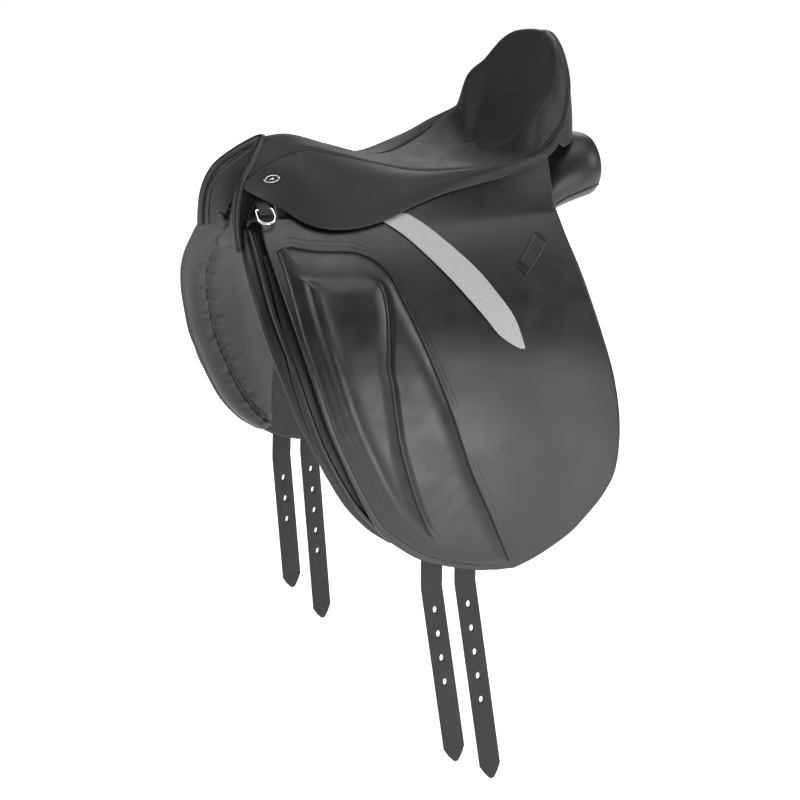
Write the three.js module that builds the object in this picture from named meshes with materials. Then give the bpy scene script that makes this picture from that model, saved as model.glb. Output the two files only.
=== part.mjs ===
// A dressage saddle in mm. The front (pommel) faces -Y, the near side is +X and up is +Z.
// The origin is in the middle of the channel between the panels, where the saddle rests on its rack.
import * as THREE from "three";
import { mergeVertices } from "three/addons/utils/BufferGeometryUtils.js";

const SIDES = [["near", 1], ["far", -1]];

// Leather and layer thicknesses, and how deep each layer lies below the outer face of the flap.
const COVER = 2.4;
const FLAP = 4.5;
const SKIRT = 3.2;
const GUARD_DEPTH = 5.8;
const GUARD = 2;
const BILLET_DEPTH = 8.8;
const BILLET = 4.2;
const SWEAT_DEPTH = 14.2;
const SWEAT = 3;
const POCKET_DEPTH = 18.2;
const POCKET = 1.6;
const PANEL_DEPTH = 21;

// The saddle's side starts at a slant below the seat and ends almost upright:
// x = SIDE_REACH - SIDE_DROP * exp((z - TOP_Z) / SIDE_FALL) + SIDE_SPLAY * y.
const SIDE_REACH = 258;
const SIDE_DROP = 160;
const SIDE_FALL = 120;
const SIDE_SPLAY = 0.12;
const TOP_Z = 40;

// Where the flap starts to hang free, and where each billet does.
const HINGE_Z = 24;
const HINGE_GAP = 0.6;
const BILLET_HINGE_Z = -411;
const ROOT_GAP = 2.6;
const BILLET_WIDTH = 28;
const BILLET_TIP = 20;
const BILLET_LEAN = 0.105;
const BILLET_FLARE = 0.087;
const BILLET_DROP = 0.9;
const HOLE_PITCH = 34;
const HOLES = 5;
const TIP_TO_HOLE = 115;
const HOLE_EDGE = 10;
const BILLETS = [
  { name: "billet_front_near", side: 1, y: -73, length: 249 },
  { name: "billet_rear_near", side: 1, y: -28, length: 282 },
  { name: "billet_front_far", side: -1, y: -73, length: 217 },
  { name: "billet_rear_far", side: -1, y: -28, length: 282 },
];

// The stirrup bar, its catch, the dee rings and the nails.
const BAR_X = 56;
const BAR_Y = [-90, -162];
const BAR_Z = 46;
const BAR_HEIGHT = 10;
const BAR_REACH = 19;
const BAR = 6;
const CATCH = 7;
const CATCH_LENGTH = 8;
const DEE_AT = [-217, 53];
const DEE_WIDTH = 26;
const DEE_DROP = 24;
const DEE_WIRE = 3.6;
const DEE_STAND = 7;
const NAIL_U = 0.11;
const NAIL_V = 0.4;

// The tree's deck lies SEAT_DEPTH below the seat's middle line. Springs and webs follow it between
// these shares of its width and of its length.
const DECK = 9;
const SEAT_DEPTH = 30;
const FOAM = 18;
const SPRING_S = [0.68, 0.84];
const SPRING_T = [0.14, 0.6];
const WEB_S = [0.3, 0.5];
const WEB_T = [0.1, 0.62];
const GIRTH_WEB_Y = [-56, -10];
const WEB = 1.4;
const WEB_LIFT = 3.8;
const WEB_WIDTH = 34;

// The welts' radius, the skirt's rise between its edges, and the pad and panel from front to rear edge.
const WELT = 2.6;
const SKIRT_BULGE = 11;
const PAD = 18;
const PAD_EDGE = 6;
const PANEL_THICK = 26;
const PANEL_THIN = 9;

// The height of the seat's middle line, from pommel to cantle, as y, z.
const CROWN = through([
  [-200, 131], [-160, 134], [-100, 111], [-45, 89], [0, 79], [40, 75], [75, 78], [108, 88],
]);

// The seat's edge from the middle of the pommel to the middle of the cantle, near side.
// Each row is x, y, z of the edge, then the y of the seat's middle that it faces, and its padding's rise.
const SEAT_EDGE = [
  [0, -200, 130, -188, 0],
  [17, -211, 121, -184, 1],
  [33, -227, 104, -178, 1],
  [38, -223, 99, -172, 1],
  [34, -196, 110, -162, 1],
  [27, -150, 120, -142, 1],
  [26, -98, 105, -98, 1],
  [27, -45, 86, -45, 1],
  [44, 2, 77, -4, 2],
  [74, 58, 82, 40, 4],
  [96, 98, 90, 72, 9],
  [110, 132, 100, 86, 24],
  [113, 154, 113, 92, 50],
  [104, 179, 134, 97, 55],
  [84, 195, 168, 101, 46],
  [50, 205, 205, 104, 22],
  [0, 213, 217, 106, 9],
];

// The tree's edge, in the same order and with the same middle line.
const DECK_EDGE = [
  [0, -168, 98, -150],
  [30, -168, 92, -146],
  [44, -160, 82, -140],
  [50, -98, 66, -98],
  [56, -45, 55, -45],
  [62, 2, 50, -4],
  [72, 58, 57, 40],
  [86, 98, 70, 72],
  [98, 130, 84, 86],
  [101, 150, 96, 92],
  [92, 174, 115, 97],
  [70, 192, 138, 101],
  [38, 202, 164, 104],
  [0, 206, 176, 106],
];

function through(stations) {
  const slope = stations.map((s, i) => {
    const a = stations[Math.max(i - 1, 0)];
    const b = stations[Math.min(i + 1, stations.length - 1)];
    return (b[1] - a[1]) / (b[0] - a[0]);
  });
  return (key) => {
    const last = stations.length - 2;
    const i = Math.min(Math.max(stations.findIndex((s) => s[0] > key) - 1, 0), last);
    const k = key >= stations[last + 1][0] ? last : i;
    const [a, b] = [stations[k], stations[k + 1]];
    const step = b[0] - a[0];
    const t = Math.min(Math.max((key - a[0]) / step, 0), 1);
    const rise = (t * t * (3 - 2 * t)) * (b[1] - a[1]);
    return a[1] + rise + t * (1 - t) * (1 - t) * slope[k] * step - t * t * (1 - t) * slope[k + 1] * step;
  };
}

function smooth(t) {
  const k = Math.min(Math.max(t, 0), 1);
  return k * k * (3 - 2 * k);
}

function at(x, y, z) {
  return new THREE.Vector3(x, y, z);
}

function mirrored(point, side) {
  return at(point.x * side, point.y, point.z);
}

// A smooth curve through points given as [x, y, z].
function curve(points) {
  return new THREE.CatmullRomCurve3(points.map((p) => at(...p)), false, "catmullrom", 0.5);
}

// A smooth outline through [y, z] points on the saddle's side.
function edge(points) {
  return curve(points.map(([y, z]) => [0, y, z]));
}

function sideX(y, z) {
  return SIDE_REACH - SIDE_DROP * Math.exp((z - TOP_Z) / SIDE_FALL) + SIDE_SPLAY * y;
}

// The point of the saddle's side at y, z, moved in by depth along the surface's normal.
function sidePoint(y, z, depth) {
  const steepness = (sideX(y, z) - SIDE_REACH - SIDE_SPLAY * y) / SIDE_FALL;
  const inward = at(-1, SIDE_SPLAY, steepness).normalize();
  return at(sideX(y, z), y, z).addScaledVector(inward, depth);
}

// A closed geometry from points and faces, turned so that its faces point out.
function closed(points, faces) {
  const corner = ([a, b, c]) => points[a].dot(points[b].clone().cross(points[c]));
  const volume = faces.reduce((sum, face) => sum + corner(face), 0);
  const turned = volume < 0 ? faces.map(([a, b, c]) => [a, c, b]) : faces;
  const used = [...new Set(turned.flat())];
  const order = new Map(used.map((old, i) => [old, i]));
  const geometry = new THREE.BufferGeometry().setFromPoints(used.map((i) => points[i]));
  geometry.setIndex(turned.flat().map((i) => order.get(i)));
  geometry.computeVertexNormals();
  return geometry;
}

// The solid between two surfaces of u and v from 0 to 1. A looped one joins v = 1 to v = 0.
// A sewn one also closes u = 0, where v and 1 - v meet on a line.
function between(outer, inner, rows, columns, looped = false, sewn = false) {
  const points = [];
  const faces = [];
  const across = looped ? columns : columns + 1;
  const layer = (rows + 1) * across;
  for (const surface of [outer, inner])
    for (let i = 0; i <= rows; i++)
      for (let j = 0; j < across; j++) points.push(surface(i / rows, j / columns));
  const fold = (i, j) => (sewn && i === 0 ? Math.min(j % across, across - (j % across)) : j % across);
  const index = (level, i, j) => level * layer + i * across + fold(i, j);
  const quad = (a, b, c, d) => faces.push(...[[a, b, c], [a, c, d]].filter((f) => new Set(f).size === 3));
  for (let i = 0; i < rows; i++)
    for (let j = 0; j < columns; j++) {
      quad(index(0, i, j), index(0, i, j + 1), index(0, i + 1, j + 1), index(0, i + 1, j));
      quad(index(1, i, j), index(1, i + 1, j), index(1, i + 1, j + 1), index(1, i, j + 1));
    }
  for (let j = 0; j < columns; j++) {
    if (!sewn) quad(index(0, 0, j), index(1, 0, j), index(1, 0, j + 1), index(0, 0, j + 1));
    quad(index(0, rows, j), index(0, rows, j + 1), index(1, rows, j + 1), index(1, rows, j));
  }
  if (!looped)
    for (let i = 0; i < rows; i++) {
      quad(index(0, i, 0), index(0, i + 1, 0), index(1, i + 1, 0), index(1, i, 0));
      quad(index(0, i, columns), index(1, i, columns), index(1, i + 1, columns), index(0, i + 1, columns));
    }
  return closed(points, faces);
}

// A sheet on the saddle's side between a front and a rear outline that both run from its top to its bottom.
function sideSheet(side, front, rear, depth, thickness, rows, columns) {
  const layer = (d) => (u, v) => {
    const a = front.getPointAt(u);
    const b = rear.getPointAt(u);
    const p = a.lerp(b, v);
    const deep = typeof d === "function" ? d(p.y, p.z) : d;
    return mirrored(sidePoint(p.y, p.z, deep), side);
  };
  const bottom = typeof thickness === "function" ? (y, z) => depth + thickness(y, z) : depth + thickness;
  return between(layer(depth), layer(bottom), rows, columns);
}

// A flat band along a centre curve: wide along the given direction and thick across it.
function band(points, wide, width, thickness, steps, side = 1) {
  const centre = curve(points);
  const along = at(...wide).normalize();
  const layer = (offset) => (u, v) => {
    const tangent = centre.getTangentAt(u);
    const normal = tangent.clone().cross(along).normalize();
    const p = centre.getPointAt(u);
    p.addScaledVector(normal, offset).addScaledVector(along, (v - 0.5) * width);
    return mirrored(p, side);
  };
  return between(layer(thickness / 2), layer(-thickness / 2), steps, 1);
}

// A round cord along a curve.
function cord(points, radius, steps) {
  const disc = new THREE.Shape().absarc(0, 0, radius, 0, Math.PI * 2);
  const options = { steps, curveSegments: 4, extrudePath: curve(points) };
  return welded(new THREE.ExtrudeGeometry(disc, options));
}

function welded(geometry) {
  geometry.deleteAttribute("normal");
  geometry.deleteAttribute("uv");
  const joined = mergeVertices(geometry, 1e-3);
  joined.computeVertexNormals();
  return joined;
}

function flat(shape, thickness) {
  const options = { depth: thickness, bevelEnabled: false, curveSegments: 4 };
  return welded(new THREE.ExtrudeGeometry(shape, options));
}

// ---- Seat and tree ----

const SEAT_RIM = curve(SEAT_EDGE.map((row) => row.slice(0, 3)));
const SEAT_FACING = curve(SEAT_EDGE.map((row) => [row[3], row[4], 0]));
const DECK_RIM = curve(DECK_EDGE.map((row) => row.slice(0, 3)));
const DECK_HEIGHT = through(DECK_EDGE.slice(1, 8).map((row) => [row[1], row[2]]));
const DECK_FACING = curve(DECK_EDGE.map((row) => [row[3], 0, 0]));

// turn runs once round an edge, along the near side and back along the far side.
function around(rim, facing, turn) {
  const side = turn <= 0.5 ? 1 : -1;
  const t = turn <= 0.5 ? turn * 2 : (1 - turn) * 2;
  return { side, rim: rim.getPoint(t), facing: facing.getPoint(t) };
}

// A point of the seat: s runs from its middle line to its edge.
function seatPoint(s, turn) {
  const { side, rim, facing } = around(SEAT_RIM, SEAT_FACING, turn);
  const middleZ = CROWN(facing.x);
  const padding = facing.y * Math.sin(Math.PI * s ** 4);
  const z = middleZ + (rim.z - middleZ) * s ** 1.7 + padding;
  return at(side * rim.x * s, facing.x + (rim.y - facing.x) * s, z);
}

// A point of the tree's top, the deck that the seat's webs and foam lie on.
function deckPoint(s, turn, depth) {
  const { side, rim, facing } = around(DECK_RIM, DECK_FACING, turn);
  const middleZ = CROWN(facing.x) - SEAT_DEPTH;
  const z = middleZ + (rim.z - middleZ) * s ** 1.7 - depth;
  return at(side * rim.x * s, facing.x + (rim.y - facing.x) * s, z);
}

// The same point moved in along the seat's own normal.
function seatLayer(s, turn, depth) {
  const step = 0.004;
  const along = seatPoint(s, (turn + step) % 1).sub(seatPoint(s, (turn - step + 1) % 1));
  const across = seatPoint(s + step, turn).sub(seatPoint(s - step, turn));
  const out = across.cross(along).normalize();
  return seatPoint(s, turn).addScaledVector(out, -depth);
}

function seatCover() {
  const top = (u, v) => seatPoint(u, v);
  const under = at(0, 0, COVER);
  const base = (u, v) => (u ? seatLayer(Math.min(u, 0.985), v, COVER) : seatPoint(0, v).sub(under));
  return between(top, base, 10, 44, true, true);
}

function seatFoam() {
  const under = at(0, 0, COVER + 1);
  const top = (u, v) => (u ? seatLayer(0.9 * u, v, COVER + 1) : seatPoint(0, v).sub(under));
  const base = (u, v) => top(0.95 * u, v).sub(at(0, 0, FOAM));
  return between(top, base, 9, 44, true, true);
}

function treeFrame() {
  const layer = (depth) => (u, v) => deckPoint(0.5 + 0.5 * u, v, depth);
  return between(layer(0), layer(DECK), 3, 40, true);
}

// A strip that follows the deck from turn t0 to t1, between s0 and s1.
function deckStrip(side, [s0, s1], [t0, t1], depth, thickness, steps) {
  const layer = (d) => (u, v) => {
    const turn = (t0 + (t1 - t0) * u) / 2;
    return mirrored(deckPoint(s0 + (s1 - s0) * v, turn, d), side);
  };
  return between(layer(depth), layer(depth + thickness), steps, 1);
}

// Half an arch as [x, z] points, doubled about the middle, at one y.
function arch(half, topZ, y) {
  const near = half.map(([x, z]) => [x, y, z]);
  const far = half.map(([x, z]) => [-x, y, z]).reverse();
  return [...far, [0, y, topZ], ...near];
}

function headPlate() {
  const half = [[16, 98], [29, 84], [39, 62], [54, 33], [72, 12], [89, -4]];
  return band(arch(half, 102, -184), [0, 1, 0], 24, 3, 20);
}

function gulletPlate() {
  const half = [[14, 90], [24, 78], [31, 62]];
  return band(arch(half, 95, -184), [0, 1, 0], 22, 2.5, 10);
}

// A girth web crosses the deck and turns down both sides to the billets' layer.
function girthWeb(middle) {
  const layer = (lift) => (u, v) => {
    const y = middle + (v - 0.5) * WEB_WIDTH;
    const top = CROWN(y) - SEAT_DEPTH + WEB_LIFT + lift;
    const low = DECK_HEIGHT(y) + WEB_LIFT + lift;
    const deck = [20, 40, 60].map((x) => [x, top + (low - top) * (x / 60) ** 1.7]);
    const ends = [12, -12].map((z) => sidePoint(y, z, BILLET_DEPTH + WEB - lift));
    const half = [...deck, [73, 46], ...ends.map((p) => [p.x, p.z])];
    return curve(arch(half, top, y)).getPointAt(u);
  };
  return between(layer(WEB), layer(0), 26, 1);
}

// ---- Steel fittings ----

// The bar stands clear of its back plate so that the stirrup leather can hang behind it.
function stirrupBar(side) {
  const [back, front] = BAR_Y;
  const shape = new THREE.Shape();
  shape.moveTo(BAR_X, front);
  shape.lineTo(BAR_X + BAR_REACH, front);
  shape.lineTo(BAR_X + BAR_REACH, back);
  shape.lineTo(BAR_X + BAR_REACH - BAR, back);
  shape.lineTo(BAR_X + BAR_REACH - BAR, front + BAR);
  shape.lineTo(BAR_X + 3, front + BAR);
  shape.lineTo(BAR_X + 3, back - 6);
  shape.lineTo(BAR_X, back - 6);
  const geometry = flat(shape, BAR_HEIGHT).translate(0, 0, BAR_Z);
  return side > 0 ? geometry : flipped(geometry);
}

// The same geometry on the far side, with its faces turned so that they still point out.
function flipped(geometry) {
  const copy = geometry.clone().scale(-1, 1, 1);
  const index = copy.index.array;
  for (let i = 0; i < index.length; i += 3) [index[i + 1], index[i + 2]] = [index[i + 2], index[i + 1]];
  return copy;
}

// The catch at the bar's open end turns up about a cross pin, here its rounded end.
function barCatch(side) {
  const shape = new THREE.Shape();
  shape.moveTo(0, -CATCH / 2);
  shape.lineTo(CATCH_LENGTH, -CATCH / 2);
  shape.lineTo(CATCH_LENGTH, CATCH / 2);
  shape.lineTo(0, CATCH / 2);
  shape.absarc(0, 0, CATCH / 2, Math.PI / 2, Math.PI * 1.5, false);
  const geometry = flat(shape, BAR);
  geometry.rotateX(Math.PI / 2).rotateZ(Math.PI / 2);
  geometry.translate(BAR_X + BAR_REACH - BAR, BAR_Y[0] + CATCH / 2 + 0.4, BAR_Z + BAR_HEIGHT / 2);
  return side > 0 ? geometry : flipped(geometry);
}

// A frame whose X is the saddle's length, Y runs up its side and Z points out of it at y, z.
function sideFrame(y, z, depth) {
  const along = at(SIDE_SPLAY, 1, 0).normalize();
  const out = sidePoint(y, z, -1).sub(sidePoint(y, z, 0)).normalize();
  const up = out.clone().cross(along).normalize();
  const place = sidePoint(y, z, depth);
  return new THREE.Matrix4().makeBasis(along, up, out).setPosition(place);
}

function deeRing(side) {
  const [half, drop, wire] = [DEE_WIDTH / 2, DEE_DROP, DEE_WIRE];
  const outline = (inset) => {
    const path = new THREE.Path();
    path.moveTo(-half + inset, wire / 2 - inset);
    path.lineTo(-half + inset, -drop + half);
    path.absarc(0, -drop + half, half - inset, Math.PI, Math.PI * 2, false);
    path.lineTo(half - inset, wire / 2 - inset);
    return path;
  };
  const shape = new THREE.Shape(outline(0).getPoints(6));
  shape.holes.push(new THREE.Path(outline(wire).getPoints(6).reverse()));
  const geometry = flat(shape, wire).translate(0, 0, -wire / 2);
  geometry.applyMatrix4(sideFrame(...DEE_AT, -DEE_STAND));
  return side > 0 ? geometry : flipped(geometry);
}

// An oval washer with a domed stud, on the skirt near the pommel.
function nail(side) {
  const profile = [[0, 0], [10, 0], [10, 0.8], [3.2, 1.4], [2.8, 3.4], [1.6, 4.6], [0, 5]];
  const lathe = new THREE.LatheGeometry(profile.map(([r, h]) => new THREE.Vector2(r, h)), 16);
  const geometry = welded(lathe).scale(1.1, 1, 0.5);
  const out = skirtOut(NAIL_U, NAIL_V);
  const along = skirtPoint(NAIL_U + 0.02, NAIL_V, 0).sub(skirtPoint(NAIL_U - 0.02, NAIL_V, 0)).normalize();
  const frame = new THREE.Matrix4().makeBasis(along, out, along.clone().cross(out).normalize());
  geometry.applyMatrix4(frame.setPosition(skirtPoint(NAIL_U, NAIL_V, -0.7)));
  return side > 0 ? geometry : flipped(geometry);
}

// ---- Leatherwork ----

const SKIRT_TOP = curve([
  [43, -235, 94], [38, -200, 109], [31, -150, 118], [30, -98, 103], [31, -45, 86], [48, 2, 76],
  [78, 58, 80], [100, 98, 88], [114, 132, 98], [117, 154, 110], [107, 180, 130],
]);
const SKIRT_LOW = curve([
  [47, -238, 86], [52, -212, 69], [62, -193, 57], [84, -171, 43], [97, -146, 36], [102, -118, 34],
  [103, -90, 36], [101, -60, 41], [97, -30, 50], [97, 10, 60], [101, 52, 67], [110, 92, 75],
  [117, 134, 87], [120, 155, 100], [110, 181, 120],
]);

function skirtOut(u, v) {
  const down = SKIRT_LOW.getPointAt(u).sub(SKIRT_TOP.getPointAt(u));
  const along = SKIRT_LOW.getTangentAt(u);
  const lean = 0.5 * (v - 0.5);
  return along.clone().cross(down).normalize().negate().addScaledVector(down.normalize(), lean).normalize();
}

// A point of the near skirt: u runs from pommel to cantle, v from its seam to its lower edge.
function skirtPoint(u, v, depth) {
  const p = SKIRT_TOP.getPointAt(u).lerp(SKIRT_LOW.getPointAt(u), v);
  const bulge = SKIRT_BULGE * 4 * v * (1 - v) * smooth(u * 5) * smooth((1 - u) * 4);
  const out = at(0.6, 0, 0.8);
  return p.addScaledVector(out, bulge).addScaledVector(skirtOut(u, v), -depth);
}

function skirt(side) {
  const layer = (depth) => (u, v) => mirrored(skirtPoint(v, u, depth), side);
  return between(layer(0), layer(SKIRT), 4, 22);
}

// The arch at the front from its outer seam to its inner edge round the channel.
const ARCH_OUTER = [
  [0, -204, 123], [16, -214, 114], [32, -231, 98], [43, -244, 81], [50, -250, 60],
];
const ARCH_INNER = [
  [0, -214, 92], [11, -218, 88], [22, -230, 76], [28, -238, 64], [33, -241, 52],
];

function doubled(points) {
  const far = points.slice(1).map(([x, y, z]) => [-x, y, z]).reverse();
  return [...far, ...points];
}

function pommelFacing() {
  const outer = curve(doubled(ARCH_OUTER));
  const inner = curve(doubled(ARCH_INNER));
  const layer = (back) => (u, v) => {
    const p = outer.getPointAt(v).lerp(inner.getPointAt(v), u);
    return p.add(at(0, back, 0));
  };
  return between(layer(0), layer(COVER), 3, 20);
}

function headWelt() {
  const points = ARCH_OUTER.map(([x, y, z]) => [x * 1.08, y - 5.5, z + 4]);
  return cord(doubled(points), WELT, 24);
}

// The back of the cantle, between the welt and the panels.
const CANTLE_UPPER = [[0, 215, 211], [44, 208, 200], [80, 199, 160], [99, 187, 130], [106, 177, 114]];
const CANTLE_LOWER = [[0, 217, 114], [46, 212, 113], [80, 202, 111], [100, 189, 107], [109, 178, 103]];

function cantleFacing() {
  const upper = curve(doubled(CANTLE_UPPER));
  const lower = curve(doubled(CANTLE_LOWER));
  const layer = (back) => (u, v) => upper.getPointAt(v).lerp(lower.getPointAt(v), u).add(at(0, back, 0));
  return between(layer(3), layer(3 + COVER), 4, 20);
}

function cantleWelt() {
  const points = SEAT_EDGE.slice(13).map(([x, y, z]) => [x, y + 4, z + 4]).reverse();
  return cord(doubled(points), WELT, 20);
}

const FLAP_FRONT = [
  [-228, HINGE_Z], [-227, -20], [-222, -64], [-213, -118], [-200, -180], [-175, -252], [-146, -317],
  [-123, -343], [-90, -368], [-49, -384], [-11, -395],
];
const FLAP_REAR = [
  [154, HINGE_Z], [154, -4], [162, -59], [169, -110], [179, -168], [182, -228], [172, -290], [158, -312],
  [137, -337], [108, -363], [67, -386], [35, -398],
];

// The flap's fixed upper edge tucks up under the skirt, and its lower line is the flap's hinge line.
const FLAP_TUCK = curve([
  [62, -222, 46], [81, -100, 44], [84, -30, 56], [85, 10, 66], [91, 52, 74], [99, 92, 82], [106, 134, 92],
  [108, 152, 98],
]);

function flapTop(side) {
  const inward = at(-0.8, 0.09, -0.6);
  const layer = (depth) => (u, v) => {
    const low = sidePoint(-228 + 382 * v, HINGE_Z + HINGE_GAP, 0);
    return mirrored(FLAP_TUCK.getPointAt(v).lerp(low, u).addScaledVector(inward, depth), side);
  };
  return between(layer(0), layer(FLAP), 2, 10);
}

function flap(side) {
  const start = ([first, ...rest]) => edge([[first[0], HINGE_Z - HINGE_GAP], ...rest]);
  return sideSheet(side, start(FLAP_FRONT), start(FLAP_REAR), 0, FLAP, 16, 4);
}

// The thigh pad is a thick block at the front that thins towards its rear seam.
function thighPad(side) {
  const front = edge([
    [-217, 4], [-216, -60], [-208, -118], [-195, -180], [-171, -250], [-143, -308], [-117, -336],
    [-85, -359],
  ]);
  const rear = edge([
    [-122, 0], [-96, -16], [-86, -48], [-72, -91], [-45, -184], [-25, -259], [-2, -318], [8, -366],
  ]);
  const thickness = (y, z) => PAD_EDGE + (PAD - PAD_EDGE) * smooth((-y - 85 - z / 12) / 34);
  const layer = (reach) => (u, v) => {
    const p = front.getPointAt(u).lerp(rear.getPointAt(u), v);
    const rim = Math.sin(Math.PI * Math.min(u, 1 - u, 0.1) * 5) ** 0.5;
    return mirrored(sidePoint(p.y, p.z, -1 - reach * thickness(p.y, p.z) * (0.35 + 0.65 * rim)), side);
  };
  return between(layer(1), layer(0), 18, 8);
}

function keeper(side) {
  const front = edge([[117, 9], [98, -8], [78, -23]]);
  const rear = edge([[127, -1], [108, -18], [87, -34]]);
  return sideSheet(side, front, rear, -3, 2, 3, 1);
}

function girthGuard(side) {
  const front = edge([[-108, 10], [-113, -90], [-100, -165], [-74, -196]]);
  const rear = edge([[30, 10], [36, -90], [24, -165], [-4, -196]]);
  return sideSheet(side, front, rear, GUARD_DEPTH, GUARD, 10, 2);
}

function sweatFlap(side) {
  const front = edge([
    [-232, 20], [-235, -40], [-236, -92], [-230, -142], [-212, -214], [-195, -252], [-171, -292],
    [-143, -325], [-115, -352], [-82, -374], [-44, -388],
  ]);
  const rear = edge([
    [108, 20], [118, -40], [132, -120], [142, -200], [136, -270], [114, -325], [76, -361], [26, -388],
  ]);
  return sideSheet(side, front, rear, SWEAT_DEPTH, SWEAT, 18, 4);
}

function pointPocket(side) {
  const front = edge([[-214, -8], [-206, -80]]);
  const rear = edge([[-152, -8], [-160, -80]]);
  return sideSheet(side, front, rear, POCKET_DEPTH, POCKET, 4, 1);
}

// The billet's upper length lies between the flap and the sweat flap.
function billetRoot({ side, y }) {
  const half = BILLET_WIDTH / 2;
  const line = (offset) => edge([[y + 8 + offset, -20], [y + offset, BILLET_HINGE_Z + ROOT_GAP]]);
  return sideSheet(side, line(-half), line(half), BILLET_DEPTH, BILLET, 16, 1);
}

// Its free end hangs below the flap, with buckle holes and a pointed tip.
function billet({ side, y, length }) {
  const half = BILLET_WIDTH / 2;
  const shape = new THREE.Shape();
  shape.moveTo(-half, 0);
  shape.lineTo(-half, BILLET_TIP - length);
  shape.lineTo(-4, -length);
  shape.lineTo(4, -length);
  shape.lineTo(half, BILLET_TIP - length);
  shape.lineTo(half, 0);
  for (let i = 0; i < HOLES; i++) {
    const drop = length - TIP_TO_HOLE - i * HOLE_PITCH;
    if (drop < HOLE_EDGE) continue;
    const hole = new THREE.Path();
    hole.absellipse(0, -drop, 2.8, 4.8, 0, Math.PI * 2, true);
    shape.holes.push(hole);
  }
  const geometry = flat(shape, BILLET).translate(0, 0, -BILLET / 2);
  geometry.applyMatrix4(billetFrame(y));
  return side > 0 ? geometry : flipped(geometry);
}

function billetFrame(y) {
  const down = at(BILLET_FLARE, BILLET_LEAN, -1).normalize();
  const along = at(SIDE_SPLAY, 1, 0);
  const out = along.clone().cross(down).negate().normalize();
  const across = down.clone().negate().cross(out).normalize();
  const hinge = sidePoint(y, BILLET_HINGE_Z, BILLET_DEPTH + BILLET / 2).sub(at(0, 0, BILLET_DROP));
  return new THREE.Matrix4().makeBasis(across, down.clone().negate(), out).setPosition(hinge);
}

function deeChape(side) {
  const front = edge([[-225, 63], [-225, 54]]);
  const rear = edge([[-209, 63], [-209, 54]]);
  return sideSheet(side, front, rear, -4, 3, 2, 1);
}

function tagStrip() {
  const front = edge([[-50, 19], [-16, -25], [16, -70], [34, -97], [54, -114]]);
  const rear = edge([[-14, 19], [20, -17], [42, -50], [61, -81], [64, -108]]);
  return sideSheet(1, front, rear, -1.8, 1.2, 8, 1);
}

// ---- Panels ----

// A cushion's sections from front to rear: y, centre x and z, half width, half height, tilt in degrees.
const CUSHION = [
  [-263, 78, 12, 26, 6, 46],
  [-256, 75, 12, 42, 12, 46],
  [-242, 68, 8, 45, 14, 47],
  [-226, 52, 2, 41, 16, 48],
  [-190, 48, 2, 40, 18, 47],
  [-100, 54, 5, 41, 21, 43],
  [0, 60, 6, 42, 22, 38],
  [70, 62, 9, 45, 24, 28],
  [130, 64, 23, 43, 28, 18],
  [175, 70, 50, 44, 42, 12],
  [208, 72, 61, 46, 43, 9],
  [234, 72, 62, 38, 37, 8],
  [246, 72, 61, 20, 20, 8],
];

function panelCushion(side) {
  const columns = CUSHION[0].slice(1).map((_, i) => through(CUSHION.map((row) => [row[0], row[i + 1]])));
  const [first, last] = [CUSHION[0][0], CUSHION.at(-1)[0]];
  const ring = (u, v) => {
    const y = first + (last - first) * u;
    const [x, z, wide, high, tilt] = columns.map((column) => column(y));
    const turn = v * Math.PI * 2;
    const lean = THREE.MathUtils.degToRad(tilt);
    const [a, b] = [wide * Math.cos(turn), high * Math.sin(turn)];
    const px = x + a * Math.cos(lean) + b * Math.sin(lean);
    const pz = z - a * Math.sin(lean) + b * Math.cos(lean);
    return mirrored(at(px, y, pz), side);
  };
  return capped(ring, 24, 16);
}

// A closed body from rings along u, with a flat cap on each end.
function capped(ring, rows, columns) {
  const points = [];
  const faces = [];
  for (let i = 0; i <= rows; i++)
    for (let j = 0; j < columns; j++) points.push(ring(i / rows, j / columns));
  const index = (i, j) => i * columns + (j % columns);
  for (let i = 0; i < rows; i++)
    for (let j = 0; j < columns; j++) {
      faces.push([index(i, j), index(i + 1, j), index(i + 1, j + 1)]);
      faces.push([index(i, j), index(i + 1, j + 1), index(i, j + 1)]);
    }
  for (let j = 1; j < columns - 1; j++) {
    faces.push([index(0, 0), index(0, j), index(0, j + 1)]);
    faces.push([index(rows, 0), index(rows, j + 1), index(rows, j)]);
  }
  return closed(points, faces);
}

function panelLeg(side) {
  const front = edge([
    [-260, -24], [-258, -60], [-252, -96], [-243, -134], [-231, -176], [-215, -214], [-199, -252],
    [-177, -292], [-150, -326], [-122, -350],
  ]);
  const rear = edge([[10, -24], [-22, -80], [-58, -150], [-84, -220], [-96, -280], [-98, -352]]);
  const thickness = (y, z) => PANEL_THIN + (PANEL_THICK - PANEL_THIN) * smooth((-y - 130 - z / 5) / 70);
  return sideSheet(side, front, rear, PANEL_DEPTH, thickness, 14, 6);
}

// ---- Assembly ----

const saddle = new THREE.Group();
saddle.name = "english_saddle";

function add(name, geometry, look) {
  const mesh = new THREE.Mesh(geometry, new THREE.MeshStandardMaterial(look));
  mesh.name = name;
  saddle.add(mesh);
}

const SMOOTH_LEATHER = { color: 0x1c1b1a, roughness: 0.45, metalness: 0 };
const SOFT_LEATHER = { color: 0x242322, roughness: 0.6, metalness: 0 };
const STRAP_LEATHER = { color: 0x2a2928, roughness: 0.65, metalness: 0 };
const LINING = { color: 0x1f1e1e, roughness: 0.7, metalness: 0 };
const PADDING = { color: 0x8f8a80, roughness: 0.9, metalness: 0 };
const WOOD = { color: 0x8a6a42, roughness: 0.7, metalness: 0 };
const WEBBING = { color: 0xc9bfa4, roughness: 0.85, metalness: 0 };
const STEEL = { color: 0x8d9196, roughness: 0.35, metalness: 1 };
const BRIGHT_STEEL = { color: 0xd5d8db, roughness: 0.15, metalness: 1 };
const TAG = { color: 0xc9c9c7, roughness: 0.5, metalness: 0 };

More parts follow.
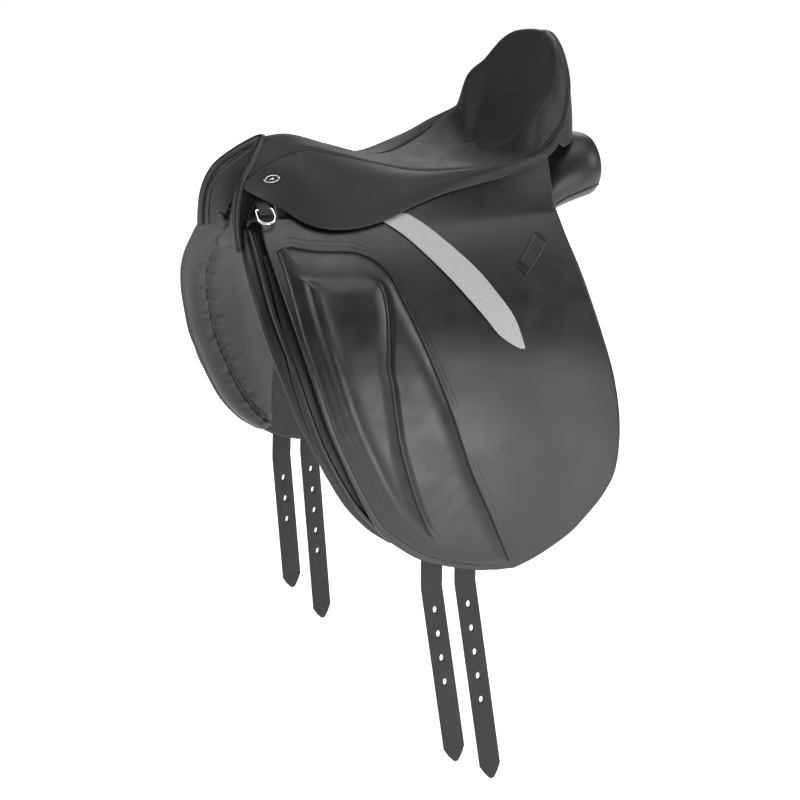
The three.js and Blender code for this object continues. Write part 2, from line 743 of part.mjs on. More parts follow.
add("tree_frame", treeFrame(), WOOD);
add("head_plate", headPlate(), STEEL);
add("gullet_plate", gulletPlate(), STEEL);
add("girth_web_front", girthWeb(GIRTH_WEB_Y[0]), WEBBING);
add("girth_web_rear", girthWeb(GIRTH_WEB_Y[1]), WEBBING);
add("seat_foam", seatFoam(), PADDING);
add("seat_cover", seatCover(), SMOOTH_LEATHER);
add("pommel_facing", pommelFacing(), SMOOTH_LEATHER);
add("head_welt", headWelt(), SMOOTH_LEATHER);
add("cantle_facing", cantleFacing(), SMOOTH_LEATHER);
add("cantle_welt", cantleWelt(), SMOOTH_LEATHER);
add("tag_strip", tagStrip(), TAG);

for (const [name, side] of SIDES) {
  add(`tree_spring_${name}`, deckStrip(side, SPRING_S, SPRING_T, DECK + 1.5, 1.5, 10), STEEL);
  add(`seat_web_${name}`, deckStrip(side, WEB_S, WEB_T, -1.8, WEB, 12), WEBBING);
  add(`stirrup_bar_${name}`, stirrupBar(side), STEEL);
  add(`bar_catch_${name}`, barCatch(side), STEEL);
  add(`skirt_${name}`, skirt(side), SMOOTH_LEATHER);
  add(`saddle_nail_${name}`, nail(side), BRIGHT_STEEL);
  add(`dee_chape_${name}`, deeChape(side), STRAP_LEATHER);
  add(`dee_ring_${name}`, deeRing(side), BRIGHT_STEEL);
  add(`flap_top_${name}`, flapTop(side), SMOOTH_LEATHER);
  add(`flap_${name}`, flap(side), SMOOTH_LEATHER);
  add(`thigh_pad_${name}`, thighPad(side), SMOOTH_LEATHER);
  add(`flap_keeper_${name}`, keeper(side), STRAP_LEATHER);
  add(`girth_guard_${name}`, girthGuard(side), STRAP_LEATHER);
  add(`sweat_flap_${name}`, sweatFlap(side), SOFT_LEATHER);
  add(`point_pocket_${name}`, pointPocket(side), SOFT_LEATHER);
  add(`panel_cushion_${name}`, panelCushion(side), LINING);
  add(`panel_leg_${name}`, panelLeg(side), LINING);
}

for (const strap of BILLETS) {
  add(strap.name.replace("billet", "billet_root"), billetRoot(strap), STRAP_LEATHER);
  add(strap.name, billet(strap), STRAP_LEATHER);
}

export default saddle;
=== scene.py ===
import math
import bmesh
import bpy
import numpy as np
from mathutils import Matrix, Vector


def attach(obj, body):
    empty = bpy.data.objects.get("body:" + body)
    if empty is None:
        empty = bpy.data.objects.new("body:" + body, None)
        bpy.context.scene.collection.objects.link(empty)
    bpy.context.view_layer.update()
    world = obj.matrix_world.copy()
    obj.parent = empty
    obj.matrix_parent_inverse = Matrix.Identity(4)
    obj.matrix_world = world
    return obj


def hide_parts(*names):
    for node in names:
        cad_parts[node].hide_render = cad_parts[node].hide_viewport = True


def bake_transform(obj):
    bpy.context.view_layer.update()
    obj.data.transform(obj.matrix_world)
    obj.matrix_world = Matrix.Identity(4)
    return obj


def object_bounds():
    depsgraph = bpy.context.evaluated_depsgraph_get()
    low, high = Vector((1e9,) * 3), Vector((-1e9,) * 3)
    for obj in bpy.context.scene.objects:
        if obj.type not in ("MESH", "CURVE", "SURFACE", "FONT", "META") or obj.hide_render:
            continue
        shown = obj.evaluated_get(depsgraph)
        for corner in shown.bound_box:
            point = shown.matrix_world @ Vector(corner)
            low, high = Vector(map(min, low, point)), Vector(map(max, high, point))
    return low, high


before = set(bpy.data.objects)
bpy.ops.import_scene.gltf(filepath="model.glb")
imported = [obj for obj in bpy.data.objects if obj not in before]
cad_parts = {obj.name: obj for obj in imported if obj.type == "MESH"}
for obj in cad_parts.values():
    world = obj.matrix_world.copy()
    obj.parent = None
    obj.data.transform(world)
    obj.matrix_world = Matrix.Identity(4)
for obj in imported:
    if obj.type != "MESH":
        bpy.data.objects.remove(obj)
cadLow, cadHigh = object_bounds()
print("frame loaded")

# All shapes below are worked out in millimetres and made in metres.
mm = 0.001
sides = {"near": 1, "far": -1}

# The saddle's side, which every flap, panel and strap lies along.
side = {"reach": 258, "drop": 160, "fall": 120, "splay": 0.12, "top": 40}
layers = {"flap": 4.5, "guard": 5.8, "billet": 8.8, "sweat": 14.2, "pocket": 18.2, "panel": 21}


def smooth(t):
    k = np.clip(t, 0, 1)
    return k * k * (3 - 2 * k)


def unit(v):
    return v / np.maximum(np.linalg.norm(v, axis=-1, keepdims=True), 1e-9)


def sideAt(y, z, depth=0.0):
    y, z = np.asarray(y, float), np.asarray(z, float)
    fall = side["drop"] * np.exp((z - side["top"]) / side["fall"])
    x = side["reach"] - fall + side["splay"] * y
    inward = unit(np.stack([-np.ones_like(x), np.full_like(x, side["splay"]), -fall / side["fall"]], -1))
    return np.stack([x, y, z], -1) + inward * np.asarray(depth)[..., None]


def onSide(yz, depth=0.0):
    return sideAt(yz[..., 0], yz[..., 1], depth)


class Path:
    # A smooth curve through points, read either by its length or by its point numbers.
    def __init__(self, points):
        p = np.array(points, float)
        self.count = len(p) - 1
        ends = np.vstack([2 * p[0] - p[1], p, 2 * p[-1] - p[-2]])
        t = np.linspace(0, 1, 25)[:-1, None]
        parts = []
        for i in range(self.count):
            a, b = ends[i + 1], ends[i + 2]
            m, n = (ends[i + 2] - ends[i]) / 2, (ends[i + 3] - ends[i + 1]) / 2
            h = (2 * t**3 - 3 * t**2 + 1) * a + (t**3 - 2 * t**2 + t) * m
            parts.append(h + (3 * t**2 - 2 * t**3) * b + (t**3 - t**2) * n)
        self.table = np.vstack(parts + [p[-1:]])
        steps = np.linalg.norm(np.diff(self.table, axis=0), axis=1)
        self.length = np.concatenate([[0], np.cumsum(steps)])

    def at(self, u):
        return self.read(np.asarray(u, float) * self.length[-1], self.length)

    def byPoint(self, u):
        return self.read(np.asarray(u, float), np.linspace(0, 1, len(self.table)))

    def read(self, key, keys):
        return np.stack([np.interp(key, keys, c) for c in self.table.T], -1)


def through(stations):
    s = np.array(stations, float)
    slope = np.array([
        (s[min(i + 1, len(s) - 1), 1] - s[max(i - 1, 0), 1]) / (s[min(i + 1, len(s) - 1), 0] - s[max(i - 1, 0), 0])
        for i in range(len(s))
    ])

    def height(key):
        key = np.asarray(key, float)
        k = np.clip(np.searchsorted(s[:, 0], key, side="right") - 1, 0, len(s) - 2)
        step = s[k + 1, 0] - s[k, 0]
        t = np.clip((key - s[k, 0]) / step, 0, 1)
        rise = s[k, 1] + (3 * t**2 - 2 * t**3) * (s[k + 1, 1] - s[k, 1])
        return rise + t * (1 - t) ** 2 * slope[k] * step - t**2 * (1 - t) * slope[k + 1] * step

    return height


def gridFaces(rows, columns, looped=False, start=0):
    i, j = np.meshgrid(np.arange(rows - 1), np.arange(columns if looped else columns - 1), indexing="ij")
    k = (j + 1) % columns
    quads = np.stack([i * columns + j, (i + 1) * columns + j, (i + 1) * columns + k, i * columns + k], -1)
    return (quads.reshape(-1, 4) + start).tolist()


def makeMesh(name, points, faces, turn=1, edge=None):
    # turn is 1 for the near side and -1 for its mirror image on the far side.
    points = np.array(points, float) * mm
    points[:, 0] *= turn
    if turn < 0:
        faces = [face[::-1] for face in faces]
    mesh = bpy.data.meshes.new(name)
    mesh.from_pydata(points.tolist(), [], [list(face) for face in faces])
    # The edge attribute marks where the leathers paint their edge highlight.
    if edge is not None:
        mesh.attributes.new("edge", "FLOAT", "POINT").data.foreach_set("value", np.asarray(edge, float))
    mesh.polygons.foreach_set("use_smooth", [True] * len(mesh.polygons))
    mesh.update()
    piece = bpy.data.objects.new(name, mesh)
    bpy.context.scene.collection.objects.link(piece)
    return piece


def outwards(points, faces):
    # Turns every face round if the closed shape is inside out.
    p = np.asarray(points)
    a, b, c = (p[[f[i] for f in faces]] for i in range(3))
    volume = np.einsum("ij,ij->i", a, np.cross(b, c)).sum()
    quads = [f for f in faces if len(f) == 4]
    if quads:
        a, b, c = (p[[f[i] for f in quads]] for i in (0, 2, 3))
        volume += np.einsum("ij,ij->i", a, np.cross(b, c)).sum()
    return faces if volume > 0 else [f[::-1] for f in faces]


def sheetShape(outer, inner, steps=4, roundness=0.6):
    # A sheet between two grids of points, with a rounded edge all the way round.
    rows, columns = outer.shape[:2]
    loop = [(0, j) for j in range(columns)] + [(i, columns - 1) for i in range(1, rows)]
    loop += [(rows - 1, j) for j in range(columns - 2, -1, -1)] + [(i, 0) for i in range(rows - 2, 0, -1)]
    r, c = np.array(loop).T
    back = (np.clip(r, 1, rows - 2), np.clip(c, 1, columns - 2))
    middle = (outer[r, c] + inner[r, c]) / 2
    arm = outer[r, c] - middle
    away = middle - (outer[back] + inner[back]) / 2
    away -= unit(arm) * np.einsum("ij,ij->i", away, unit(arm))[:, None]
    reach = unit(away) * np.linalg.norm(arm, axis=1)[:, None] * roundness
    rings = []
    for k in range(1, steps):
        angle = math.pi * k / steps
        rings.append(middle + arm * math.cos(angle) + reach * math.sin(angle))
    points = np.vstack([outer.reshape(-1, 3), inner.reshape(-1, 3)] + rings)
    size = rows * columns
    faces = gridFaces(rows, columns) + [f[::-1] for f in gridFaces(rows, columns, start=size)]
    levels = [r * columns + c] + [2 * size + len(loop) * k + np.arange(len(loop)) for k in range(steps - 1)]
    levels.append(r * columns + c + size)
    for upper, lower in zip(levels, levels[1:]):
        faces += np.stack([upper, np.roll(upper, -1), np.roll(lower, -1), lower], -1).tolist()
    # The rounded edge rings are marked with 1, and there the leathers paint a highlight in a lighter colour.
    edge = np.concatenate([np.zeros(2 * size), np.ones(len(points) - 2 * size)])
    return points, outwards(points, faces), edge


def patch(front, rear, rows, columns, ease=0.0):
    # Points y, z in rows between a front and a rear outline that both run downwards.
    u = np.linspace(0, 1, rows)
    v = np.linspace(0, 1, columns)
    v = v + ease * np.sin(2 * math.pi * v) / (2 * math.pi)
    a, b = Path(front).at(u)[:, None], Path(rear).at(u)[:, None]
    return a + (b - a) * v[None, :, None]


def lineDistance(yz, points):
    path = Path(points)
    line = path.at(np.linspace(0, 1, max(12, int(path.length[-1] / 4))))
    flat = yz.reshape(-1, 2)
    nearest = np.full(len(flat), 1e9)
    for a, b in zip(line, line[1:]):
        step = b - a
        t = np.clip((flat - a) @ step / max(step @ step, 1e-9), 0, 1)
        gap = np.hypot(*(flat - a - t[:, None] * step).T)
        nearest = np.minimum(nearest, gap)
    return nearest.reshape(yz.shape[:-1])


def insideOf(yz, points):
    y, z = yz[..., 0], yz[..., 1]
    inside = np.zeros(y.shape, bool)
    for (ay, az), (by, bz) in zip(points, np.roll(points, -1, axis=0)):
        crossing = (az > z) != (bz > z)
        inside ^= crossing & (y < (by - ay) * (z - az) / (bz - az + 1e-9) + ay)
    return inside


def ripple(a, b, seed, waves=7, longest=60.0, shortest=9.0):
    # Soft unevenness with a fixed seed, between about -1 and 1.
    draw = np.random.default_rng(seed)
    total = np.zeros_like(np.asarray(a, float))
    for length in np.geomspace(longest, shortest, waves):
        turn, phase = draw.uniform(0, math.pi), draw.uniform(0, 6.28)
        total += np.sin((a * math.cos(turn) + b * math.sin(turn)) * 6.28 / length + phase) * (length / longest) ** 0.5
    return total / waves**0.5


# Node trees: one function adds a node with its settings and links.
def addNode(tree, kind, settings=None, **links):
    node = tree.nodes.new(kind)
    for key, value in (settings or {}).items():
        setattr(node, key, value)
    for key, value in links.items():
        key = int(key[1:]) if key[0] == "_" and key[1:].isdigit() else key.replace("_", " ")
        socket = node.inputs[key]
        if isinstance(value, bpy.types.NodeSocket):
            tree.links.new(value, socket)
        else:
            socket.default_value = value
    return node


def hexColour(code):
    channels = [int(code[i:i + 2], 16) / 255 for i in (1, 3, 5)]
    return tuple(c / 12.92 if c <= 0.04045 else ((c + 0.055) / 1.055) ** 2.4 for c in channels) + (1,)


def newMaterial(name):
    material = bpy.data.materials.new(name)
    material.use_nodes = True
    tree = material.node_tree
    tree.nodes.clear()
    output = addNode(tree, "ShaderNodeOutputMaterial")
    coordinates = addNode(tree, "ShaderNodeTexCoord").outputs["Object"]
    return material, tree, output, coordinates


def finishMaterial(tree, output, shader):
    tree.links.new(shader.outputs[0], output.inputs["Surface"])


# Cowhide: a pebbled grain of cells, faint shade from the dye, and a painted highlight: the rounded edges are coloured
# lighter.
def leatherMaterial(name, look):
    material, tree, output, coordinates = newMaterial(name)
    shade = addNode(tree, "ShaderNodeTexNoise", Vector=coordinates, Scale=1 / (look["shadeSize"] * mm), Detail=4.0)
    tint = addNode(tree, "ShaderNodeMix", {"data_type": "RGBA"}, Factor=shade.outputs["Fac"],
                   _6=hexColour(look["dark"]), _7=hexColour(look["light"]))
    # Painted highlight: the rounded edge rings, marked by the edge attribute, take the lighter edge colour.
    edge = addNode(tree, "ShaderNodeAttribute", {"attribute_name": "edge"})
    colour = addNode(tree, "ShaderNodeMix", {"data_type": "RGBA"}, Factor=edge.outputs["Fac"],
                     _6=tint.outputs[2], _7=hexColour(look["edge"]))
    grain = addNode(tree, "ShaderNodeTexVoronoi", {"feature": "DISTANCE_TO_EDGE"}, Vector=coordinates,
                    Scale=1 / (look["grain"] * mm), Randomness=1.0)
    creases = addNode(tree, "ShaderNodeMapRange", Value=grain.outputs["Distance"], From_Max=0.25)
    pores = addNode(tree, "ShaderNodeTexNoise", Vector=coordinates, Scale=1 / (0.6 * mm), Detail=3.0)
    folds = addNode(tree, "ShaderNodeTexNoise", Vector=coordinates, Scale=1 / (look["fold"] * mm), Detail=2.0)
    height = addNode(tree, "ShaderNodeMath", {"operation": "MULTIPLY_ADD"}, _0=pores.outputs["Fac"], _1=0.35,
                     _2=creases.outputs["Result"])
    fine = addNode(tree, "ShaderNodeBump", Strength=look["grainBump"], Distance=0.15 * mm,
                   Height=height.outputs[0])
    wide = addNode(tree, "ShaderNodeBump", Strength=look["foldBump"], Distance=1.2 * mm,
                   Height=folds.outputs["Fac"], Normal=fine.outputs["Normal"])
    worn = addNode(tree, "ShaderNodeTexNoise", Vector=coordinates, Scale=1 / (35 * mm), Detail=5.0)
    rough = addNode(tree, "ShaderNodeMapRange", Value=worn.outputs["Fac"], From_Min=0.3, From_Max=0.7,
                    To_Min=look["rough"] - 0.05, To_Max=look["rough"] + 0.05)
    shader = addNode(tree, "ShaderNodeBsdfPrincipled", Base_Color=colour.outputs[2],
                     Roughness=rough.outputs["Result"], Normal=wide.outputs["Normal"], IOR=1.5)
    shader.inputs["Specular IOR Level"].default_value = look["shine"]
    shader.inputs["Sheen Weight"].default_value = look["sheen"]
    shader.inputs["Sheen Roughness"].default_value = 0.5
    finishMaterial(tree, output, shader)
    return material


def metalMaterial(name, look):
    material, tree, output, coordinates = newMaterial(name)
    long = addNode(tree, "ShaderNodeMapping", Vector=coordinates, Scale=(1, 1 / 12, 1))
    scratch = addNode(tree, "ShaderNodeTexNoise", Vector=long.outputs[0], Scale=1 / (look["scratch"] * mm),
                      Detail=4.0)
    cloud = addNode(tree, "ShaderNodeTexNoise", Vector=coordinates, Scale=1 / (9 * mm), Detail=3.0)
    rough = addNode(tree, "ShaderNodeMapRange", Value=cloud.outputs["Fac"], From_Min=0.3, From_Max=0.7,
                    To_Min=look["rough"], To_Max=look["rough"] + 0.08)
    tint = addNode(tree, "ShaderNodeMix", {"data_type": "RGBA"}, Factor=cloud.outputs["Fac"],
                   _6=hexColour(look["dark"]), _7=hexColour(look["light"]))
    bump = addNode(tree, "ShaderNodeBump", Strength=look["bump"], Distance=0.05 * mm, Height=scratch.outputs["Fac"])
    shader = addNode(tree, "ShaderNodeBsdfPrincipled", Base_Color=tint.outputs[2], Metallic=1.0,
                     Roughness=rough.outputs["Result"], Normal=bump.outputs["Normal"])
    finishMaterial(tree, output, shader)
    return material


# Woven cloth: two sets of threads that cross, on the object's own axes.
def wovenMaterial(name, look):
    material, tree, output, coordinates = newMaterial(name)
    threads = []
    for direction in ("X", "Y"):
        wave = addNode(tree, "ShaderNodeTexWave", {"bands_direction": direction}, Vector=coordinates,
                       Scale=1 / (look["thread"] * mm * 6.28), Distortion=0.6, Detail=1.0)
        threads.append(wave.outputs["Fac"])
    cross = addNode(tree, "ShaderNodeMath", {"operation": "MULTIPLY"}, _0=threads[0], _1=threads[1])
    cloud = addNode(tree, "ShaderNodeTexNoise", Vector=coordinates, Scale=1 / (12 * mm), Detail=5.0)
    blend = addNode(tree, "ShaderNodeMath", {"operation": "MULTIPLY"}, _0=cross.outputs[0],
                    _1=cloud.outputs["Fac"])
    tint = addNode(tree, "ShaderNodeMix", {"data_type": "RGBA"}, Factor=blend.outputs[0],
                   _6=hexColour(look["dark"]), _7=hexColour(look["light"]))
    bump = addNode(tree, "ShaderNodeBump", Strength=look["bump"], Distance=0.2 * mm, Height=cross.outputs[0])
    shader = addNode(tree, "ShaderNodeBsdfPrincipled", Base_Color=tint.outputs[2], Roughness=look["rough"],
                     Normal=bump.outputs["Normal"])
    shader.inputs["Sheen Weight"].default_value = look["sheen"]
    finishMaterial(tree, output, shader)
    return material


def woodMaterial(name, look):
    material, tree, output, coordinates = newMaterial(name)
    long = addNode(tree, "ShaderNodeMapping", Vector=coordinates, Scale=(1, 0.12, 1))
    rings = addNode(tree, "ShaderNodeTexNoise", Vector=long.outputs[0], Scale=1 / (4 * mm), Detail=6.0)
    tint = addNode(tree, "ShaderNodeMix", {"data_type": "RGBA"}, Factor=rings.outputs["Fac"],
                   _6=hexColour(look["dark"]), _7=hexColour(look["light"]))
    bump = addNode(tree, "ShaderNodeBump", Strength=0.3, Distance=0.2 * mm, Height=rings.outputs["Fac"])
    shader = addNode(tree, "ShaderNodeBsdfPrincipled", Base_Color=tint.outputs[2], Roughness=look["rough"],
                     Normal=bump.outputs["Normal"])
    finishMaterial(tree, output, shader)
    return material


# In each leather look, edge is the lighter colour of the painted highlight on rounded edges.
# Dressed cowhide on flaps and pads: dark, close grained, with a soft waxed shine.
dressedCowhide = leatherMaterial("dressedCowhide", {
    "dark": "#0e0e0e", "light": "#141414", "edge": "#302f2e", "shadeSize": 70, "grain": 2.2, "grainBump": 0.10,
    "fold": 40, "foldBump": 0.05, "rough": 0.39, "shine": 0.66, "sheen": 0.0})
# The seat and skirts have a drier, duller cover that grips.
seatHide = leatherMaterial("seatHide", {
    "dark": "#1b1b1b", "light": "#232323", "edge": "#3c3b3a", "shadeSize": 60, "grain": 1.8, "grainBump": 0.12,
    "fold": 45, "foldBump": 0.05, "rough": 0.58, "shine": 0.42, "sheen": 0.05})
# Soft calf on the panels: thin enough to crease and pucker along its seams.
panelCalf = leatherMaterial("panelCalf", {
    "dark": "#141414", "light": "#1b1b1b", "edge": "#242424", "shadeSize": 45, "grain": 1.6, "grainBump": 0.15,
    "fold": 24, "foldBump": 0.22, "rough": 0.43, "shine": 0.55, "sheen": 0.03})
# Bridle leather straps: stiff, flat and waxed, a little greyer, with burnished edges coloured lighter as a painted
# highlight.
bridleStrap = leatherMaterial("bridleStrap", {
    "dark": "#232323", "light": "#2d2d2d", "edge": "#3d3c3b", "shadeSize": 30, "grain": 1.5, "grainBump": 0.16,
    "fold": 30, "foldBump": 0.05, "rough": 0.6, "shine": 0.35, "sheen": 0.04})
# Grained hide of the sweat flaps, matt.
sweatHide = leatherMaterial("sweatHide", {
    "dark": "#171717", "light": "#202020", "edge": "#2e2d2d", "shadeSize": 50, "grain": 2.6, "grainBump": 0.22,
    "fold": 40, "foldBump": 0.08, "rough": 0.52, "shine": 0.45, "sheen": 0.03})
# Waxed polyester thread, drawn a little bolder than real so that each stitch shows.
waxedThread = wovenMaterial("waxedThread", {
    "dark": "#1d1d1d", "light": "#4a4a49", "thread": 0.5, "bump": 0.4, "rough": 0.5, "sheen": 0.2})
# Satin ribbon of polyester: pale silver, with a soft sheen along its weave.
satinRibbon = wovenMaterial("satinRibbon", {
    "dark": "#a3a4a5", "light": "#c9c9ca", "thread": 0.7, "bump": 0.25, "rough": 0.42, "sheen": 0.3})
# Stainless steel, tumbled and buffed: bright, with clear small highlights.
polishedSteel = metalMaterial("polishedSteel", {
    "dark": "#c9ccd0", "light": "#eceef0", "scratch": 1.2, "rough": 0.12, "bump": 0.05})
# Forged and barrel plated steel under the seat: greyer and slightly rough.
forgedSteel = metalMaterial("forgedSteel", {
    "dark": "#85888c", "light": "#a6a9ad", "scratch": 0.8, "rough": 0.32, "bump": 0.3})
# Undyed linen webbing: coarse, dry and straw coloured.
linenWebbing = wovenMaterial("linenWebbing", {
    "dark": "#8d7f5f", "light": "#cbbf9d", "thread": 1.1, "bump": 0.8, "rough": 0.85, "sheen": 0.2})
# Laminated beech, sanded and sealed: warm, with a fine straight grain.
laminatedBeech = woodMaterial("laminatedBeech", {"dark": "#8c6338", "light": "#c59c66", "rough": 0.5})
print("materials made")


# Geometry node trees for what follows a line: a row of stitches, and a rolled welt.
def newGeometryTree(name, sockets):
    tree = bpy.data.node_groups.new(name, "GeometryNodeTree")
    tree.interface.new_socket("Geometry", in_out="INPUT", socket_type="NodeSocketGeometry")
    for label, kind, value in sockets:
        socket = tree.interface.new_socket(label, in_out="INPUT", socket_type=kind)
        if value is not None:
            socket.default_value = value
    tree.interface.new_socket("Geometry", in_out="OUTPUT", socket_type="NodeSocketGeometry")
    start = addNode(tree, "NodeGroupInput")
    return tree, start


def endGeometryTree(tree, start, geometry):
    real = addNode(tree, "GeometryNodeRealizeInstances", Geometry=geometry)
    finish = addNode(tree, "GeometryNodeSetMaterial", Geometry=real.outputs[0], Material=start.outputs["Material"])
    output = addNode(tree, "NodeGroupOutput")
    tree.links.new(finish.outputs[0], output.inputs[0])


stitchTree, stitchStart = newGeometryTree("stitchRow", [
    ("Pitch", "NodeSocketFloat", 0.004), ("Length", "NodeSocketFloat", 0.003), ("Width", "NodeSocketFloat", 0.0008),
    ("Material", "NodeSocketMaterial", None)])
line = addNode(stitchTree, "GeometryNodeMeshToCurve", Mesh=stitchStart.outputs["Geometry"])
spaced = addNode(stitchTree, "GeometryNodeResampleCurve", {"mode": "LENGTH"}, Curve=line.outputs[0],
                 Length=stitchStart.outputs["Pitch"])
tangent = addNode(stitchTree, "GeometryNodeInputTangent")
aligned = addNode(stitchTree, "FunctionNodeAlignRotationToVector", {"axis": "Z"}, Vector=tangent.outputs[0])
shape = addNode(stitchTree, "GeometryNodeMeshUVSphere", Segments=6, Rings=4, Radius=0.5)
scale = addNode(stitchTree, "ShaderNodeCombineXYZ", X=stitchStart.outputs["Width"], Y=stitchStart.outputs["Width"],
                Z=stitchStart.outputs["Length"])
row = addNode(stitchTree, "GeometryNodeInstanceOnPoints", Points=spaced.outputs[0], Instance=shape.outputs[0],
              Rotation=aligned.outputs[0], Scale=scale.outputs[0])
endGeometryTree(stitchTree, stitchStart, row.outputs[0])

weltTree, weltStart = newGeometryTree("rolledWelt", [
    ("Radius", "NodeSocketFloat", 0.0026), ("Material", "NodeSocketMaterial", None)])
line = addNode(weltTree, "GeometryNodeMeshToCurve", Mesh=weltStart.outputs["Geometry"])
ring = addNode(weltTree, "GeometryNodeCurvePrimitiveCircle", Resolution=10, Radius=weltStart.outputs["Radius"])
swept = addNode(weltTree, "GeometryNodeCurveToMesh", Curve=line.outputs[0], Profile_Curve=ring.outputs[0])
swept.inputs["Fill Caps"].default_value = True
rounded = addNode(weltTree, "GeometryNodeSetShadeSmooth", Geometry=swept.outputs[0])
endGeometryTree(weltTree, weltStart, rounded.outputs[0])


def alongLine(name, points, tree, values, turn=1):
    # Runs a node tree on a line of points and keeps the plain mesh that it makes.
    points = np.array(points, float) * mm
    points[:, 0] *= turn
    source = bpy.data.meshes.new(name + "Line")
    source.from_pydata(points.tolist(), [(i, i + 1) for i in range(len(points) - 1)], [])
    carrier = bpy.data.objects.new(name, source)
    bpy.context.scene.collection.objects.link(carrier)
    modifier = carrier.modifiers.new("tree", "NODES")
    modifier.node_group = tree
    for socket in tree.interface.items_tree:
        if socket.item_type == "SOCKET" and socket.in_out == "INPUT" and socket.name in values:
            modifier[socket.identifier] = values[socket.name]
    depsgraph = bpy.context.evaluated_depsgraph_get()
    made = bpy.data.meshes.new_from_object(carrier.evaluated_get(depsgraph))
    bpy.data.objects.remove(carrier)
    if not made.materials:
        made.materials.append(values["Material"])
    piece = bpy.data.objects.new(name, made)
    bpy.context.scene.collection.objects.link(piece)
    return piece


def finish(piece, material, slotName, body="saddle", nodes=(), across=None):
    # across is the lifting flap or hanging billet that a piece lies over; such a piece has its placement baked into
    # its points and is not attached to a body.
    if material is not None:
        piece.data.materials.clear()
        piece.data.materials.append(material)
    if across:
        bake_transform(piece)
    else:
        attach(piece, body)
    if nodes:
        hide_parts(*nodes)
    return piece


def flapFold(name):
    # The flap's hinge line, just under the skirt, given as a body name and two points.
    turn = sides[name]
    return {"body": f"flap_lift_{name}", "start": (0.106 * turn, 0, 0.040), "end": (0.130 * turn, 0, 0.008)}


thread = {"pitch": 3.6, "length": 2.7, "width": 0.9}


def stitches(name, points, turn=1, across=None):
    row = alongLine(name, points, stitchTree, {
        "Pitch": thread["pitch"] * mm, "Length": thread["length"] * mm, "Width": thread["width"] * mm,
        "Material": waxedThread}, turn)
    finish(row, None, "smooth_leather", across=across)


def welt(name, points, radius, material, turn=1, slotName="smooth_leather", **fixing):
    roll = alongLine(name, points, weltTree, {"Radius": radius * mm, "Material": material}, turn)
    finish(roll, None, slotName, **fixing)


# Camera and light.
view = {"azimuth": 64, "elevation": 22, "distance": 4.0, "target": (-0.001, -0.001, -0.255), "lens": 135.9}


def makeCamera():
    a, e = math.radians(view["azimuth"]), math.radians(view["elevation"])
    away = Vector((math.sin(a) * math.cos(e), -math.cos(a) * math.cos(e), math.sin(e)))
    camera = bpy.data.cameras.new("camera")
    camera.lens = view["lens"]
    camera.sensor_width = 36
    holder = bpy.data.objects.new("camera", camera)
    holder.location = Vector(view["target"]) + away * view["distance"]
    holder.rotation_euler = away.to_track_quat("Z", "Y").to_euler()
    bpy.context.scene.collection.objects.link(holder)
    bpy.context.scene.camera = holder


lamps = [
    # where it stands, what it faces, width and height in metres, watts
    {"name": "softboxFlap", "at": (2.3, 0.1, -0.15), "to": (0.2, 0.0, -0.18), "size": (0.8, 1.1), "watts": 17},
    {"name": "softboxRight", "at": (1.6, 2.2, 1.2), "to": (0.1, 0.1, 0.0), "size": (1.2, 1.6), "watts": 34},
    {"name": "softboxFront", "at": (0.3, -2.6, 0.7), "to": (0.0, -0.1, -0.1), "size": (0.9, 1.6), "watts": 26},
    {"name": "softboxTop", "at": (0.2, 0.2, 2.4), "to": (0.0, 0.0, 0.0), "size": (2.0, 2.0), "watts": 30},
    {"name": "softboxBack", "at": (-2.0, 1.4, 1.2), "to": (0.0, 0.1, 0.0), "size": (1.4, 1.4), "watts": 18},
]
studio = {"fill": 0.12, "floorSize": 4.5, "floorGlow": 0.8}


def makeLights():
    for lamp in lamps:
        light = bpy.data.lights.new(lamp["name"], "AREA")
        light.shape = "RECTANGLE"
        light.size, light.size_y = lamp["size"]
        light.energy = lamp["watts"]
        holder = bpy.data.objects.new(lamp["name"], light)
        holder.location = lamp["at"]
        aim = Vector(lamp["at"]) - Vector(lamp["to"])
        holder.rotation_euler = aim.to_track_quat("Z", "Y").to_euler()
        bpy.context.scene.collection.objects.link(holder)
    world = bpy.data.worlds.new("studio")
    world.use_nodes = True
    # White paper all round, kept dim for everything but the view itself, so that black leather stays black.
    backdrop = world.node_tree.nodes["Background"]
    backdrop.inputs["Color"].default_value = (1, 1, 1, 1)
    seen = addNode(world.node_tree, "ShaderNodeLightPath")
    strength = addNode(world.node_tree, "ShaderNodeMapRange", Value=seen.outputs["Is Camera Ray"],
                       To_Min=studio["fill"], To_Max=1.0)
    world.node_tree.links.new(strength.outputs["Result"], backdrop.inputs["Strength"])
    bpy.context.scene.world = world
    bpy.context.scene.view_settings.view_transform = "Standard"


def makeFloor():
    floorZ = cadLow[2] - 0.012
    size = studio["floorSize"]
    corners = [(-size, -size, floorZ), (size, -size, floorZ), (size, size, floorZ), (-size, size, floorZ)]
    mesh = bpy.data.meshes.new("floor")
    mesh.from_pydata(corners, [], [(0, 1, 2, 3)])
    floor = bpy.data.objects.new("floor", mesh)
    bpy.context.scene.collection.objects.link(floor)
    material, tree, output, coordinates = newMaterial("studioPaper")
    cloud = addNode(tree, "ShaderNodeTexNoise", Vector=coordinates, Scale=1.5, Detail=2.0)
    tint = addNode(tree, "ShaderNodeMix", {"data_type": "RGBA"}, Factor=cloud.outputs["Fac"],
                   _6=hexColour("#fafafa"), _7=hexColour("#ffffff"))
    shader = addNode(tree, "ShaderNodeBsdfPrincipled", Base_Color=tint.outputs[2], Roughness=0.9)
    # Lit from below a little, as a studio table is, so that it reads as plain white paper.
    shader.inputs["Emission Color"].default_value = (1, 1, 1, 1)
    shader.inputs["Emission Strength"].default_value = studio["floorGlow"]
    finishMaterial(tree, output, shader)
    mesh.materials.append(material)


makeCamera()
makeLights()
makeFloor()
print("camera and light set")

